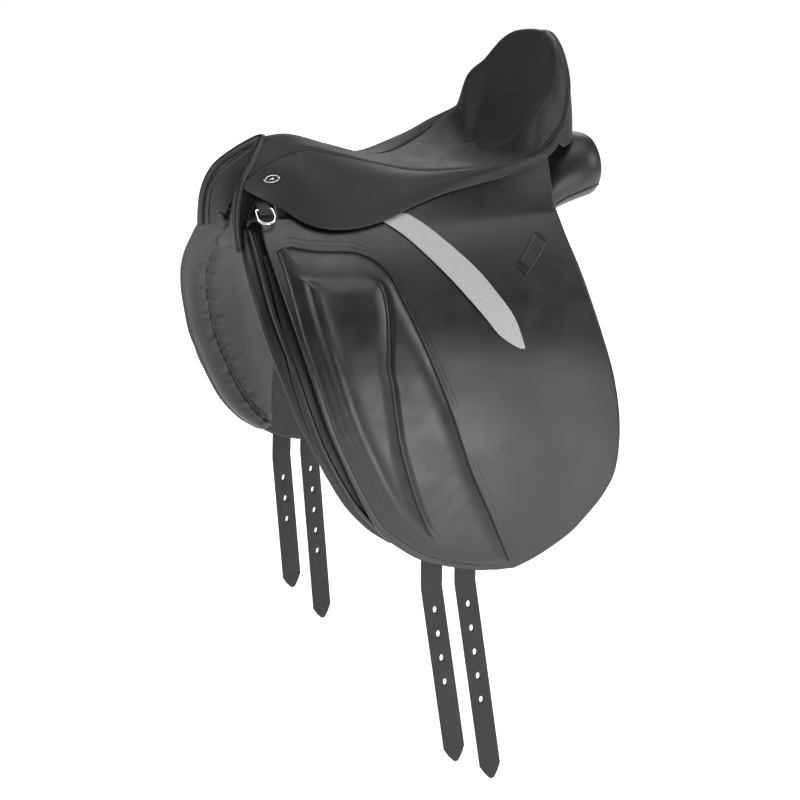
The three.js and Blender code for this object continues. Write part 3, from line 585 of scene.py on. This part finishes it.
# The seat.
# Each row is x, y, z of the seat's edge, then the y of its middle line that it faces, and its padding's rise.
seatEdge = [
    [0, -198, 132, -186, 0], [17, -211, 122, -184, 1], [33, -229, 105, -178, 1], [38, -224, 99, -172, 1],
    [34, -196, 110, -162, 1], [27, -150, 120, -142, 1], [26, -98, 105, -98, 1], [27, -45, 86, -45, 1],
    [44, 2, 75, -4, 1], [72, 58, 79, 40, 1], [95, 98, 88, 72, 0], [110, 132, 99, 86, 8],
    [112, 152, 112, 92, 42], [104, 176, 131, 97, 48], [96, 187, 153, 99, 46], [83, 196, 177, 101, 42],
    [60, 203, 199, 104, 36], [31, 209, 216, 106, 26], [0, 212, 223, 106, 20]]
crown = through([[-200, 131], [-160, 134], [-100, 111], [-45, 89], [0, 79], [40, 75], [75, 78], [108, 88]])
seatRim = Path([row[:3] for row in seatEdge])
seatFacing = Path([row[3:] for row in seatEdge])
seat = {"rows": 70, "columns": 240, "thick": 2.4}


def seatPoint(s, turn):
    t = np.where(turn <= 0.5, turn * 2, (1 - turn) * 2)
    turned = np.where(turn <= 0.5, 1, -1)
    rim, facing = seatRim.byPoint(t), seatFacing.byPoint(t)
    middle = crown(facing[..., 0])
    z = middle + (rim[..., 2] - middle) * s**1.7 + facing[..., 1] * np.sin(math.pi * s**4)
    y = facing[..., 0] + (rim[..., 1] - facing[..., 0]) * s
    return np.stack([turned * rim[..., 0] * s, y, z], -1)


def makeSeat():
    s = np.linspace(0, 1, seat["rows"])[1:] ** 0.9
    turn = np.arange(seat["columns"]) / seat["columns"]
    grid = seatPoint(*np.meshgrid(s, turn, indexing="ij"))
    rise = np.gradient(grid, axis=0)
    along = np.roll(grid, -1, axis=1) - np.roll(grid, 1, axis=1)
    outward = unit(np.cross(rise, along))
    rim = grid[-1]
    # The cover turns over its rim and runs down inside the skirts and the cantle.
    inwards = unit(-rim * [1, 0, 0] + [0, -0.2, 0])
    lip = [rim - outward[-1] * seat["thick"] * 0.5 + unit(rise[-1]) * 0.9]
    lip += [rim + inwards * a + np.array([0, 0, -1]) * d for a, d in ((0.6, 4), (2.5, 10), (6, 13))]
    back = grid[::-6][1:8] - outward[::-6][1:8] * seat["thick"]
    rings = np.concatenate([grid, np.array(lip), back])
    count = seat["columns"]
    points = rings.reshape(-1, 3)
    faces = gridFaces(len(rings), count, looped=True)
    # The middle line closes the top, and a lower copy of it closes the underside.
    for first, drop, order in ((0, 0, 1), ((len(rings) - 1) * count, seat["thick"], -1)):
        t = turn[: count // 2 + 1]
        spine = seatPoint(np.zeros(len(t)), t) - [0, 0, drop]
        start = len(points)
        points = np.vstack([points, spine])
        middle = [start + min(j, count - j) for j in range(count)]
        for j in range(count):
            k = (j + 1) % count
            face = [middle[j], first + j, first + k, middle[k]]
            face = [v for i, v in enumerate(face) if v not in face[:i]]
            faces.append(face[::order])
    faces = outwards(points, faces)
    piece = makeMesh("seatCover", points, faces)
    finish(piece, seatHide, "smooth_leather", nodes=["seat_cover", "seat_foam"])
    # A welt runs round the seat where its top meets the skirts.
    t = np.linspace(0.13, 0.985, 150)
    for name, turned in sides.items():
        rim = seatRim.byPoint(t)
        line = rim + np.array([0.6, 0, -1.6])
        welt(f"seatWelt_{name}", line, 1.5, seatHide, turned)


# Skirts and nails.
skirtTop = Path([
    [43, -235, 94], [38, -200, 109], [31, -150, 118], [30, -98, 103], [31, -45, 86], [48, 2, 76], [78, 58, 80],
    [100, 98, 88], [114, 132, 98], [117, 154, 110], [107, 180, 130]])
skirtLow = Path([
    [47, -238, 86], [52, -212, 69], [62, -193, 57], [84, -171, 43], [97, -146, 36], [102, -118, 34],
    [103, -90, 36], [101, -60, 41], [97, -30, 50], [97, 10, 60], [101, 52, 67], [110, 92, 75],
    [117, 134, 87], [120, 155, 100], [110, 181, 120]])
skirt = {"rows": 40, "columns": 200, "thick": 3.2, "bulge": 11, "nailU": 0.085, "nailV": 0.42}


def skirtPoint(u, v, depth=0.0):
    top, low = skirtTop.at(u), skirtLow.at(u)
    ahead = skirtLow.at(np.clip(u + 0.01, 0, 1)) - skirtLow.at(np.clip(u - 0.01, 0, 1))
    down = unit(low - top)
    v = np.asarray(v)[..., None]
    out = unit(-unit(np.cross(ahead, down)) + down * 0.5 * (v - 0.5))
    rise = skirt["bulge"] * 4 * v * (1 - v) * (smooth(u * 5) * smooth((1 - u) * 4))[..., None]
    return top + (low - top) * v + np.array([0.6, 0, 0.8]) * rise - out * np.asarray(depth)[..., None], out


def makeSkirts():
    v, u = np.meshgrid(np.linspace(0, 1, skirt["rows"]), np.linspace(0, 1, skirt["columns"]), indexing="ij")
    outer = skirtPoint(u, v, 0.0)[0]
    inner = skirtPoint(u, v, skirt["thick"])[0]
    shape = sheetShape(outer, inner, roundness=0.7)
    w = np.linspace(0.02, 0.985, 160)
    edgeLine = skirtPoint(w, np.full_like(w, 0.955), -0.15)[0]
    for name, turn in sides.items():
        piece = makeMesh(f"skirt_{name}", *shape[:2], turn, shape[2])
        finish(piece, seatHide, "smooth_leather", nodes=[f"skirt_{name}"])
        stitches(f"skirtSeam_{name}", edgeLine[100:], turn)


def makeNails():
    # An oval washer with a round stud in its middle.
    profile = [(0, 4.4), (1.0, 4.3), (2.0, 3.8), (2.7, 2.8), (2.9, 1.6), (3.2, 1.0), (7.0, 1.0), (7.4, 1.7),
               (8.3, 2.1), (9.2, 1.7), (9.7, 0.9), (9.7, 0.2)]
    segments = 40
    spot = np.array([skirt["nailU"]]), np.array([skirt["nailV"]])
    place, out = skirtPoint(*spot, -0.4)
    ahead = skirtPoint(spot[0] + 0.02, spot[1])[0] - skirtPoint(spot[0] - 0.02, spot[1])[0]
    out, ahead = unit(out)[0], unit(ahead)[0]
    across = np.cross(out, ahead)
    angles = np.arange(segments) * 2 * math.pi / segments
    rings = [[place[0] + out * h + ahead * r * 1.1 * math.cos(a) + across * r * 0.5 * math.sin(a) for a in angles]
             for r, h in profile[1:]]
    points = np.vstack([[place[0] + out * profile[0][1]]] + rings + [[place[0] + out * 0.2]])
    faces = gridFaces(len(rings), segments, looped=True, start=1)
    last = len(points) - 1
    faces += [[0, 1 + j, 1 + (j + 1) % segments] for j in range(segments)]
    base = 1 + (len(rings) - 1) * segments
    faces += [[last, base + (j + 1) % segments, base + j] for j in range(segments)]
    faces = outwards(points, faces)
    for name, turn in sides.items():
        piece = makeMesh(f"saddleNail_{name}", points, faces, turn)
        finish(piece, polishedSteel, "bright_steel", nodes=[f"saddle_nail_{name}"])
        # The washer's sunken middle is given the dark seat leather.
        piece.data.materials.append(seatHide)
        sunken = [1 if 4 * segments <= i < 6 * segments else 0 for i in range(len(piece.data.polygons))]
        piece.data.polygons.foreach_set("material_index", sunken)


# Pommel and cantle.
archRoll = [[0, -193, 134], [10, -201, 129], [26, -220, 113], [38, -239, 95], [46, -249, 76], [52, -254, 55],
            [57, -255, 32], [62, -254, 12]]
archInner = [[0, -200, 121], [5, -206, 118], [18, -223, 102], [29, -239, 85], [37, -248, 67], [42, -250, 48],
             [46, -250, 30], [50, -248, 12]]
archDeep = [[0, -165, 92], [6, -168, 91], [15, -180, 84], [22, -200, 70], [27, -220, 54], [30, -230, 38],
            [33, -234, 22], [36, -234, 6]]
cantleUpper = [[0, 212, 218], [30, 208, 210], [58, 202, 193], [81, 195, 171], [94, 186, 149], [103, 175, 128],
               [110, 158, 114]]
cantleLower = [[0, 215, 98], [46, 210, 98], [80, 200, 100], [100, 187, 102], [110, 172, 102]]
arch = {"thick": 2.4, "rollRadius": 5.2, "beadRadius": 1.8}


def doubled(points):
    return [[-x, y, z] for x, y, z in points[:0:-1]] + [list(p) for p in points]


def makePommel():
    v = np.linspace(0, 1, 120)
    lines = [Path(doubled(points)).at(v) for points in (archRoll, archInner, archDeep)]
    w = np.linspace(0, 1, 12)[:, None, None]
    front = np.concatenate([lines[0] + (lines[1] - lines[0]) * w, (lines[1] + (lines[2] - lines[1]) * w)[1:]])
    back = front + np.array([0, 1, 0.5]) * arch["thick"]
    shape = sheetShape(front, back)
    finish(makeMesh("pommelFacing", *shape[:2], 1, shape[2]), panelCalf, "smooth_leather", nodes=["pommel_facing"])
    roll = lines[0] + np.array([0, 0.5, -1.5])
    welt("headWelt", roll, arch["rollRadius"], panelCalf, nodes=["head_welt"])
    welt("archBead", lines[1], arch["beadRadius"], dressedCowhide)


def makeCantle():
    v = np.linspace(0, 1, 110)
    w = np.linspace(0, 1, 24)
    upper, lower = Path(doubled(cantleUpper)).at(v), Path(doubled(cantleLower)).at(v)
    plain = upper + (lower - upper) * w[:, None, None]
    back = plain.copy()
    back[..., 1] += 3 + 2.4 + 2.5 * np.sin(math.pi * w)[:, None]
    shape = sheetShape(back, plain + np.array([0, 3, 0]))
    finish(makeMesh("cantleFacing", *shape[:2], 1, shape[2]), seatHide, "smooth_leather", nodes=["cantle_facing"])
    edge = [[x, y + 2, z - 2.5] for x, y, z, *_ in seatEdge[12:]][::-1]
    welt("cantleWelt", Path(doubled(edge)).at(v), 2.0, seatHide, nodes=["cantle_welt"])
    row = Path(doubled([[x * 0.95, y + 8, z - 9] for x, y, z in cantleUpper])).at(v)
    stitches("cantleSeam", row[6:-6])


# Flaps and what lies on them.
flapFront = [[-228, 24], [-227, -20], [-222, -64], [-213, -118], [-200, -180], [-175, -252], [-146, -317],
             [-123, -343], [-90, -368], [-49, -384], [-11, -395]]
flapRear = [[154, 24], [154, -4], [161, -59], [169, -110], [178, -168], [181, -225], [174, -281], [159, -312],
            [136, -338], [108, -363], [67, -386], [35, -398]]
flapTuck = [[62, -222, 46], [81, -100, 44], [84, -30, 56], [85, 10, 66], [91, 52, 74], [99, 92, 82],
            [106, 134, 92], [108, 152, 98]]
flap = {"rows": 190, "columns": 150, "tuckRows": 18}


def makeFlaps():
    yz = patch(flapFront, flapRear, flap["rows"], flap["columns"])
    sag = 1.2 * ripple(yz[..., 0], yz[..., 1], 5, 4, 260, 110) * smooth((24 - yz[..., 1]) / 80)
    low = onSide(yz, -sag)
    v = np.linspace(0, 1, flap["columns"])
    tuck = Path(flapTuck).at(v)
    w = np.linspace(0, 1, flap["tuckRows"])[:-1, None, None]
    # The tuck runs on from the side surface without a crease.
    chord = low[0] - tuck
    onward = unit(low[1] - low[0]) * np.linalg.norm(chord, axis=-1, keepdims=True) * 0.7
    high = tuck + chord * (3 * w**2 - 2 * w**3 + w * (1 - w) ** 2) + onward * (w**3 - w**2)
    outer = np.concatenate([high, low])
    inward = np.broadcast_to(unit(np.array([-0.8, 0.09, -0.6])), high.shape)
    innerLow = onSide(yz, layers["flap"] - sag)
    step = unit(innerLow[0] - low[0])
    mix = smooth(w)
    inner = np.concatenate([high + unit(inward * (1 - mix) + step * mix) * layers["flap"], innerLow])
    shape = sheetShape(outer, inner, steps=6, roundness=0.8)
    for name, turn in sides.items():
        piece = makeMesh(f"flap_{name}", *shape[:2], turn, shape[2])
        finish(piece, dressedCowhide, "smooth_leather", nodes=[f"flap_{name}", f"flap_top_{name}"],
               across=flapFold(name))


padFront = [[-219, 17], [-218, -60], [-209, -118], [-196, -180], [-171, -250], [-142, -311], [-117, -338],
            [-84, -363], [-46, -378], [-8, -388]]
padSeam = [[-201, 19], [-172, 13], [-133, 9], [-117, 5], [-102, -3], [-91, -15], [-86, -27], [-81, -48], [-68, -91],
           [-41, -184], [-21, -259], [4, -325], [27, -388]]
padGroove = [[-118, -20], [-104, -30], [-104, -57], [-110, -88], [-116, -120], [-115, -138], [-114, -183],
             [-111, -218], [-98, -276], [-82, -323], [-70, -342]]
pad = {"rows": 240, "columns": 120, "shelf": 8, "block": 3.6, "ridge": 3.2, "groove": 3.4, "seamWelt": 1.2}


def padHeight(yz):
    # A low shelf inside the seam, and the block in front of the groove standing on it.
    rim = np.minimum(lineDistance(yz, padFront), lineDistance(yz, padSeam))
    rim = np.minimum(rim, lineDistance(yz, [padFront[-1], padSeam[-1]]))
    y, z = yz[..., 0], yz[..., 1]
    shelf = 0.6 + pad["shelf"] * np.sqrt(np.clip(1 - (1 - np.clip(rim / 26, 0, 1)) ** 2, 0, 1))
    front = [[a + 14, b] for a, b in padFront[1:8]]
    outline = np.vstack([[[-205, -12], [-160, -17]], padGroove, [[-86, -352]], front[::-1]])
    closed = np.vstack([outline, outline[:1]])
    away = lineDistance(yz, closed)
    inside = np.where(insideOf(yz, outline), away, -away)
    lower = smooth((z + 362) / 90)
    block = pad["block"] * smooth((inside + 3) / 22) * lower
    ridge = np.exp(-(((lineDistance(yz, padFront) - 24) / 13) ** 2))
    block = block + pad["ridge"] * ridge * smooth(inside / 10) * lower
    valley = pad["groove"] * np.exp(-((lineDistance(yz, padGroove) / 3.6) ** 2)) * smooth((z + 345) / 40)
    return shelf + block - valley * smooth((-12 - z) / 30) + 0.25 * ripple(y, z, 3, 5, 90, 25)


def makePads():
    yz = patch(padFront, padSeam, pad["rows"], pad["columns"], ease=-0.35)
    outer = onSide(yz, -padHeight(yz))
    inner = onSide(yz, 0.4)
    shape = sheetShape(outer, inner, steps=3, roundness=0.3)
    t = np.linspace(0, 1, 220)
    seam = Path(padSeam).at(t)
    normal = unit(np.gradient(seam, axis=0))[:, ::-1] * [-1, 1]
    normal = normal if normal[110, 0] > 0 else -normal
    front = Path([[a - 5.5, b] for a, b in padFront]).at(t)
    for name, turn in sides.items():
        fold = flapFold(name)
        piece = makeMesh(f"thighPad_{name}", *shape[:2], turn, shape[2] * 0)
        finish(piece, dressedCowhide, "smooth_leather", nodes=[f"thigh_pad_{name}"], across=fold)
        for k, gap in enumerate((6, 11)):
            line = seam + normal * gap
            stitches(f"padSeam{k}_{name}", onSide(line, -0.25), turn, fold)
        line = seam + normal * 1.0
        welt(f"padBead_{name}", onSide(line, -0.9), pad["seamWelt"], dressedCowhide, turn, across=fold)
        stitches(f"flapSeam_{name}", onSide(front, -0.25), turn, fold)


keeper = {"front": [[117, 9], [98, -8], [78, -23]], "rear": [[127, -1], [108, -18], [87, -34]], "height": 2.0}


def makeKeepers():
    yz = patch(keeper["front"], keeper["rear"], 40, 12)
    u = np.linspace(0, 1, 40)[:, None]
    lift = 0.5 + keeper["height"] * smooth(u / 0.14) * smooth((1 - u) / 0.14)
    lift = lift + np.zeros((1, 12))
    outer = onSide(yz, -lift - 1.6)
    inner = onSide(yz, -lift)
    shape = sheetShape(outer, inner, roundness=0.8)
    for name, turn in sides.items():
        piece = makeMesh(f"flapKeeper_{name}", *shape[:2], turn, shape[2])
        finish(piece, dressedCowhide, "strap_leather", nodes=[f"flap_keeper_{name}"], across=flapFold(name))


tag = {"front": [[-76, 36], [-50, 15], [-16, -25], [16, -70], [34, -97], [54, -113], [63, -116]],
       "rear": [[-42, 41], [-18, 23], [20, -17], [42, -50], [57, -78], [63, -106], [64, -115]], "thick": 0.7}


def makeTag():
    yz = patch(tag["front"], tag["rear"], 90, 16)
    outer = onSide(yz, -2.4)
    inner = onSide(yz, -2.4 + tag["thick"])
    shape = sheetShape(outer, inner, steps=2, roundness=0.3)
    piece = makeMesh("tagRibbon", *shape[:2])
    finish(piece, satinRibbon, "tag", nodes=["tag_strip"], across=flapFold("near"))


# Under the flap.
sweatFront = [[-232, 20], [-235, -40], [-236, -92], [-230, -142], [-212, -214], [-195, -252], [-171, -292],
              [-143, -325], [-115, -352], [-82, -374], [-44, -388]]
sweatRear = [[108, 20], [118, -40], [132, -120], [142, -200], [136, -270], [114, -325], [76, -361], [26, -388]]
sweatBead = [[-238, 44], [-240, 27], [-242, 6], [-243, -18], [-242, -44], [-237, -77], [-229, -115], [-221, -156],
             [-208, -204], [-190, -248], [-168, -290], [-141, -324], [-113, -351], [-81, -373], [-46, -387]]
legFront = [[-243, 50], [-252, 25], [-256, 0], [-257, -30], [-255, -60], [-249, -96], [-240, -134], [-229, -176],
            [-214, -214], [-198, -252], [-177, -292], [-150, -326], [-122, -350]]
legRear = [[-150, 50], [-100, 10], [-40, -30], [-30, -80], [-58, -150], [-84, -220], [-96, -280], [-98, -352]]


def layered(front, rear, depth, thick, rows, columns, steps=4):
    yz = patch(front, rear, rows, columns)
    outer = onSide(yz, depth)
    inner = onSide(yz, depth + thick)
    return sheetShape(outer, inner, steps=steps, roundness=0.8)


def makeUnderlayers():
    sweat = layered(sweatFront, sweatRear, layers["sweat"], 3, 110, 60)
    guard = layered([[-108, 10], [-113, -90], [-100, -165], [-74, -196]],
                    [[30, 10], [36, -90], [24, -165], [-4, -196]], layers["guard"], 2, 50, 30)
    pocket = layered([[-214, -8], [-206, -80]], [[-152, -8], [-160, -80]], layers["pocket"], 1.6, 24, 20)
    edge = Path(sweatBead).at(np.linspace(0, 1, 170))
    for name, turn in sides.items():
        finish(makeMesh(f"sweatFlap_{name}", *sweat[:2], turn, sweat[2]), sweatHide, "soft_leather",
               nodes=[f"sweat_flap_{name}"])
        bead = onSide(edge, layers["sweat"] + 0.2)
        welt(f"sweatBead_{name}", bead, 3.4, dressedCowhide, turn, "soft_leather")
        finish(makeMesh(f"girthGuard_{name}", *guard[:2], turn, guard[2]), bridleStrap, "strap_leather",
               nodes=[f"girth_guard_{name}"])
        finish(makeMesh(f"pointPocket_{name}", *pocket[:2], turn, pocket[2]), sweatHide, "soft_leather",
               nodes=[f"point_pocket_{name}"])


# Panels.
cushionRows = [
    [-263, 78, 12, 26, 6, 46], [-256, 75, 12, 42, 12, 46], [-242, 68, 8, 45, 14, 47], [-226, 52, 2, 41, 16, 48],
    [-190, 48, 2, 40, 18, 47], [-100, 54, 5, 41, 21, 43], [0, 60, 6, 42, 22, 38], [70, 62, 9, 45, 24, 28],
    [130, 64, 23, 43, 28, 18], [175, 70, 50, 44, 42, 12], [208, 72, 61, 46, 43, 9], [234, 72, 62, 38, 37, 8],
    [246, 72, 61, 20, 20, 8]]
cushion = {"start": -236, "rows": 130, "columns": 72, "seed": 11}
leg = {"rows": 150, "columns": 90, "thick": 26, "thin": 9, "seam": 30, "pucker": 1.3, "inset": 4.5}


def makeCushions():
    columns = [through([[row[0], row[i + 1]] for row in cushionRows]) for i in range(5)]
    first, last = cushion["start"], cushionRows[-1][0]
    t = np.linspace(0, 1, cushion["rows"])
    y = first + (last - first) * (t - 0.028 * np.sin(4 * math.pi * t) / 2)
    x, z, wide, high, tilt = [column(y)[:, None] for column in columns]
    # Both ends close in a round nose.
    nose = np.sqrt(np.clip(1 - (1 - smooth(np.minimum(t, 1 - t) / 0.045)) ** 2, 0, 1))[:, None]
    nose = 0.06 + 0.94 * nose
    a = np.linspace(0, 2 * math.pi, cushion["columns"], endpoint=False)[None, :]
    lean = np.radians(tilt)
    length = y[:, None] + 0 * a
    swell = 1 + 0.012 * ripple(length, a * 40, cushion["seed"], 6, 120, 30)
    p, q = wide * np.cos(a) * nose * swell, high * np.sin(a) * nose * swell
    grid = np.stack([x + p * np.cos(lean) + q * np.sin(lean), length, z - p * np.sin(lean) + q * np.cos(lean)], -1)
    count = cushion["columns"]
    points = np.vstack([grid.reshape(-1, 3), grid[0].mean(0), grid[-1].mean(0)])
    faces = gridFaces(len(grid), count, looped=True)
    end = len(points)
    faces += [[end - 2, j, (j + 1) % count] for j in range(count)]
    base = (len(grid) - 1) * count
    faces += [[end - 1, base + (j + 1) % count, base + j] for j in range(count)]
    faces = outwards(points, faces)
    # A welt runs along the cushion's outer edge, round its rear end.
    lines = grid[8:-5, 68], grid[40:-8, 52]
    for name, turn in sides.items():
        piece = makeMesh(f"panelCushion_{name}", points, faces, turn)
        finish(piece, panelCalf, "panel_leather", nodes=[f"panel_cushion_{name}"])
        for k, lineOf in enumerate(lines):
            welt(f"panelWelt{k}_{name}", lineOf, 1.5, dressedCowhide, turn, "panel_leather")


def makeLegs():
    yz = patch(legFront, legRear, leg["rows"], leg["columns"], ease=-0.3)
    y, z = yz[..., 0], yz[..., 1]
    thick = leg["thin"] + (leg["thick"] - leg["thin"]) * smooth((-y - 130 - z / 5) / 70)
    rim = lineDistance(yz, legFront)
    rim = np.minimum(rim, lineDistance(yz, legRear))
    rim = np.minimum(rim, 54 - z)
    rim = np.minimum(rim, lineDistance(yz, [legFront[-1], legRear[-1]]))
    roundIn = np.sqrt(np.clip(1 - (1 - np.clip(rim / 15, 0, 1)) ** 2, 0, 1))
    seamLine = [[a + leg["seam"], b] for a, b in legFront]
    seam = lineDistance(yz, seamLine)
    pucker = leg["pucker"] * np.exp(-((seam / 12) ** 2)) * ripple(y * 0.3, z, 21, 6, 26, 7)
    inset = leg["inset"] * np.exp(-((seam / 3.5) ** 2))
    inner = sideAt(y, z, layers["panel"] + thick * (0.3 + 0.7 * roundIn) - inset * roundIn - pucker * roundIn)
    outer = sideAt(y, z, layers["panel"] + 3.5 * (1 - roundIn))
    shape = sheetShape(outer, inner, steps=6, roundness=0.9)
    for name, turn in sides.items():
        piece = makeMesh(f"panelLeg_{name}", *shape[:2], turn, shape[2] * 0)
        finish(piece, panelCalf, "panel_leather", nodes=[f"panel_leg_{name}"])


# Billets, which are the long girth straps.
billets = [
    {"name": "front_near", "turn": 1, "y": -73, "length": 249},
    {"name": "rear_near", "turn": 1, "y": -28, "length": 282},
    {"name": "front_far", "turn": -1, "y": -73, "length": 217},
    {"name": "rear_far", "turn": -1, "y": -28, "length": 282}]
strap = {"hingeZ": -411, "drop": 0.9, "width": 28, "thick": 4.2, "tip": 20, "lean": 0.105, "flare": 0.087,
         "pitch": 34, "holes": 5, "tipToHole": 115, "edgeRoom": 10, "holeWide": 2.8, "holeTall": 4.8,
         "cell": 9, "bend": 9, "topZ": -20, "hem": 0.8}


def strapLayout(length):
    # Rows of points across the strap, with a square cell round each oval hole.
    half, room = strap["width"] / 2, strap["cell"]
    points, faces = [], []

    def put(x, d):
        points.append((x, d))
        return len(points) - 1

    def cell(top, bottom, hole):
        across = [put(half * (k / 2 - 1), top) for k in range(5)]
        below = [put(half * (k / 2 - 1), bottom) for k in range(5)]
        if hole is None:
            for k in range(4):
                faces.append([across[k], below[k], below[k + 1], across[k + 1]])
            return
        middle = (top + bottom) / 2
        left, right = put(-half, middle), put(half, middle)
        outside = across + [right] + below[::-1] + [left]
        angles = [math.atan2(points[i][1] - middle, points[i][0] * (bottom - top) / (2 * half)) for i in outside]
        inside = [put(strap["holeWide"] * math.cos(a), middle + strap["holeTall"] * math.sin(a)) for a in angles]
        for k in range(len(outside)):
            n = (k + 1) % len(outside)
            faces.append([outside[k], inside[k], inside[n], outside[n]])

    def plain(top, bottom):
        steps = max(1, round((bottom - top) / room))
        for k in range(steps):
            cell(top + (bottom - top) * k / steps, top + (bottom - top) * (k + 1) / steps, None)

    holes = [length - strap["tipToHole"] - i * strap["pitch"] for i in range(strap["holes"])]
    holes = sorted(h for h in holes if h >= strap["edgeRoom"])
    mark = 0.0
    for h in holes:
        if h - room > mark:
            plain(mark, h - room)
        cell(max(h - room, mark), h + room, h)
        mark = h + room
    end = length - strap["tip"]
    plain(mark, end)
    upper = [put(half * (k / 2 - 1), end) for k in range(5)]
    waist = [put(9 * (k / 2 - 1), end + strap["tip"] * 0.52) for k in range(5)]
    lower = [put(2.6 * (k / 2 - 1), end + strap["tip"] * 0.97) for k in range(5)]
    for a, b in ((upper, waist), (waist, lower)):
        for k in range(4):
            faces.append([a[k], b[k], b[k + 1], a[k + 1]])
    return points, faces


def makeBillets():
    down = unit(np.array([strap["flare"], strap["lean"], -1.0]))
    out = unit(-np.cross([side["splay"], 1.0, 0.0], down))
    across = unit(np.cross(-down, out))
    for one in billets:
        hinge = sideAt(one["y"], strap["hingeZ"], layers["billet"] + strap["thick"] / 2) - [0, 0, strap["drop"]]
        flat, faces = strapLayout(one["length"])
        flat = np.array(flat)
        points = hinge + flat[:, :1] * across + flat[:, 1:] * down + out * strap["thick"] / 2
        start = len(points)
        half = strap["width"] / 2
        # The upper length runs up under the flap.
        z = np.linspace(strap["hingeZ"] + 6, strap["topZ"], 60)
        rows = []
        for k in range(5):
            offset = half * (k / 2 - 1)
            y = one["y"] + 8 * (z - strap["hingeZ"]) / (strap["topZ"] - strap["hingeZ"]) + offset
            rows.append(sideAt(y, z, layers["billet"]))
        root = np.stack(rows, 1).reshape(-1, 3)
        faces = [f[::-1] for f in faces] + gridFaces(60, 5, start=start)
        for k in range(4):
            faces.append([k, start + k, start + k + 1, k + 1])
        points = np.vstack([points, root])
        piece = makeMesh(f"billet_{one['name']}", points, faces, one["turn"])
        weldStrap(piece, hinge, out, one["turn"])
        body = f"billet_end_{one['name']}"
        top, low = hinge - down * strap["bend"], hinge + down * strap["bend"]
        turnBy = np.array([one["turn"], 1, 1]) * mm
        finish(piece, bridleStrap, "strap_leather",
               nodes=[f"billet_root_{one['name']}", f"billet_{one['name']}"],
               across={"body": body, "start": tuple(top * turnBy), "end": tuple(low * turnBy)})


def weldStrap(piece, hinge, out, turn):
    # Joins the cells, turns every face outwards, and gives the strap its thickness and soft edges.
    work = bmesh.new()
    work.from_mesh(piece.data)
    bmesh.ops.remove_doubles(work, verts=work.verts, dist=0.05 * mm)
    bmesh.ops.recalc_face_normals(work, faces=work.faces)
    facing = sum((f.normal.x * f.calc_area() for f in work.faces))
    if facing * turn < 0:
        bmesh.ops.reverse_faces(work, faces=work.faces)
    work.to_mesh(piece.data)
    work.free()
    for kind, settings in (
        ("SOLIDIFY", {"thickness": strap["thick"] * mm, "offset": -1.0}),
        ("BEVEL", {"width": strap["hem"] * mm, "segments": 2, "limit_method": "ANGLE",
                   "angle_limit": math.radians(50)}),
    ):
        modifier = piece.modifiers.new(kind.lower(), kind)
        for key, value in settings.items():
            setattr(modifier, key, value)
    depsgraph = bpy.context.evaluated_depsgraph_get()
    made = bpy.data.meshes.new_from_object(piece.evaluated_get(depsgraph))
    piece.modifiers.clear()
    piece.data = made
    made.polygons.foreach_set("use_smooth", [True] * len(made.polygons))


# Dee rings.
dee = {"y": -217, "z": 53, "stand": 7, "half": 11.2, "drop": 22.2, "wire": 1.8}


def sideFrame(y, z, depth):
    along = unit(np.array([side["splay"], 1.0, 0.0]))
    out = unit(sideAt(y, z, -1) - sideAt(y, z, 0))
    return along, np.cross(out, along), out, sideAt(y, z, depth)


def makeDees():
    along, up, out, place = sideFrame(dee["y"], dee["z"], -dee["stand"])
    half, drop = dee["half"], dee["drop"]
    bend = [(-half * math.cos(a), -drop + half - half * math.sin(a)) for a in np.linspace(0, math.pi, 24)]
    flatLoop = [(-half + 2, 0.6), (-half, -1.4)] + bend + [(half, -1.4), (half - 2, 0.6)]
    loop = [place + along * a + up * b for a, b in flatLoop]
    loop += [loop[0] + (loop[-1] - loop[0]) * k for k in (0.75, 0.5, 0.25, 0)]
    yz = np.stack(np.meshgrid(np.linspace(66, 49, 24), np.linspace(-224, -210, 10), indexing="ij")[::-1], -1)
    bulge = 2.6 * np.exp(-(((yz[..., 1] - 55) / 5.5) ** 2))
    outer = onSide(yz, -6.8 - bulge)
    inner = onSide(yz, -5.2 - bulge)
    chape = sheetShape(outer, inner, roundness=0.8)
    for name, turn in sides.items():
        welt(f"deeRing_{name}", loop, dee["wire"], polishedSteel, turn, "bright_steel", body=f"dee_{name}",
             nodes=[f"dee_ring_{name}"])
        piece = makeMesh(f"deeChape_{name}", *chape[:2], turn, chape[2])
        finish(piece, bridleStrap, "strap_leather", nodes=[f"dee_chape_{name}"])


# Hidden hard parts are kept from the frame and dressed.
kept = {
    "tree_frame": laminatedBeech, "head_plate": forgedSteel, "gullet_plate": forgedSteel,
    "girth_web": linenWebbing, "tree_spring": forgedSteel, "seat_web": linenWebbing,
    "stirrup_bar": forgedSteel, "bar_catch": forgedSteel}


def dressKept():
    for node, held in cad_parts.items():
        material = next((m for key, m in kept.items() if node.startswith(key)), None)
        if material is None:
            continue
        piece = held if isinstance(held, bpy.types.Object) else bpy.data.objects[node]
        for place in piece.material_slots:
            place.material = material
        if not piece.material_slots:
            piece.data.materials.append(material)


for build in (makeSeat, makeSkirts, makeNails, makePommel, makeCantle, makeFlaps, makePads, makeKeepers, makeTag,
              makeUnderlayers, makeCushions, makeLegs, makeBillets, makeDees, dressKept):
    build()
    print(build.__name__, "done")
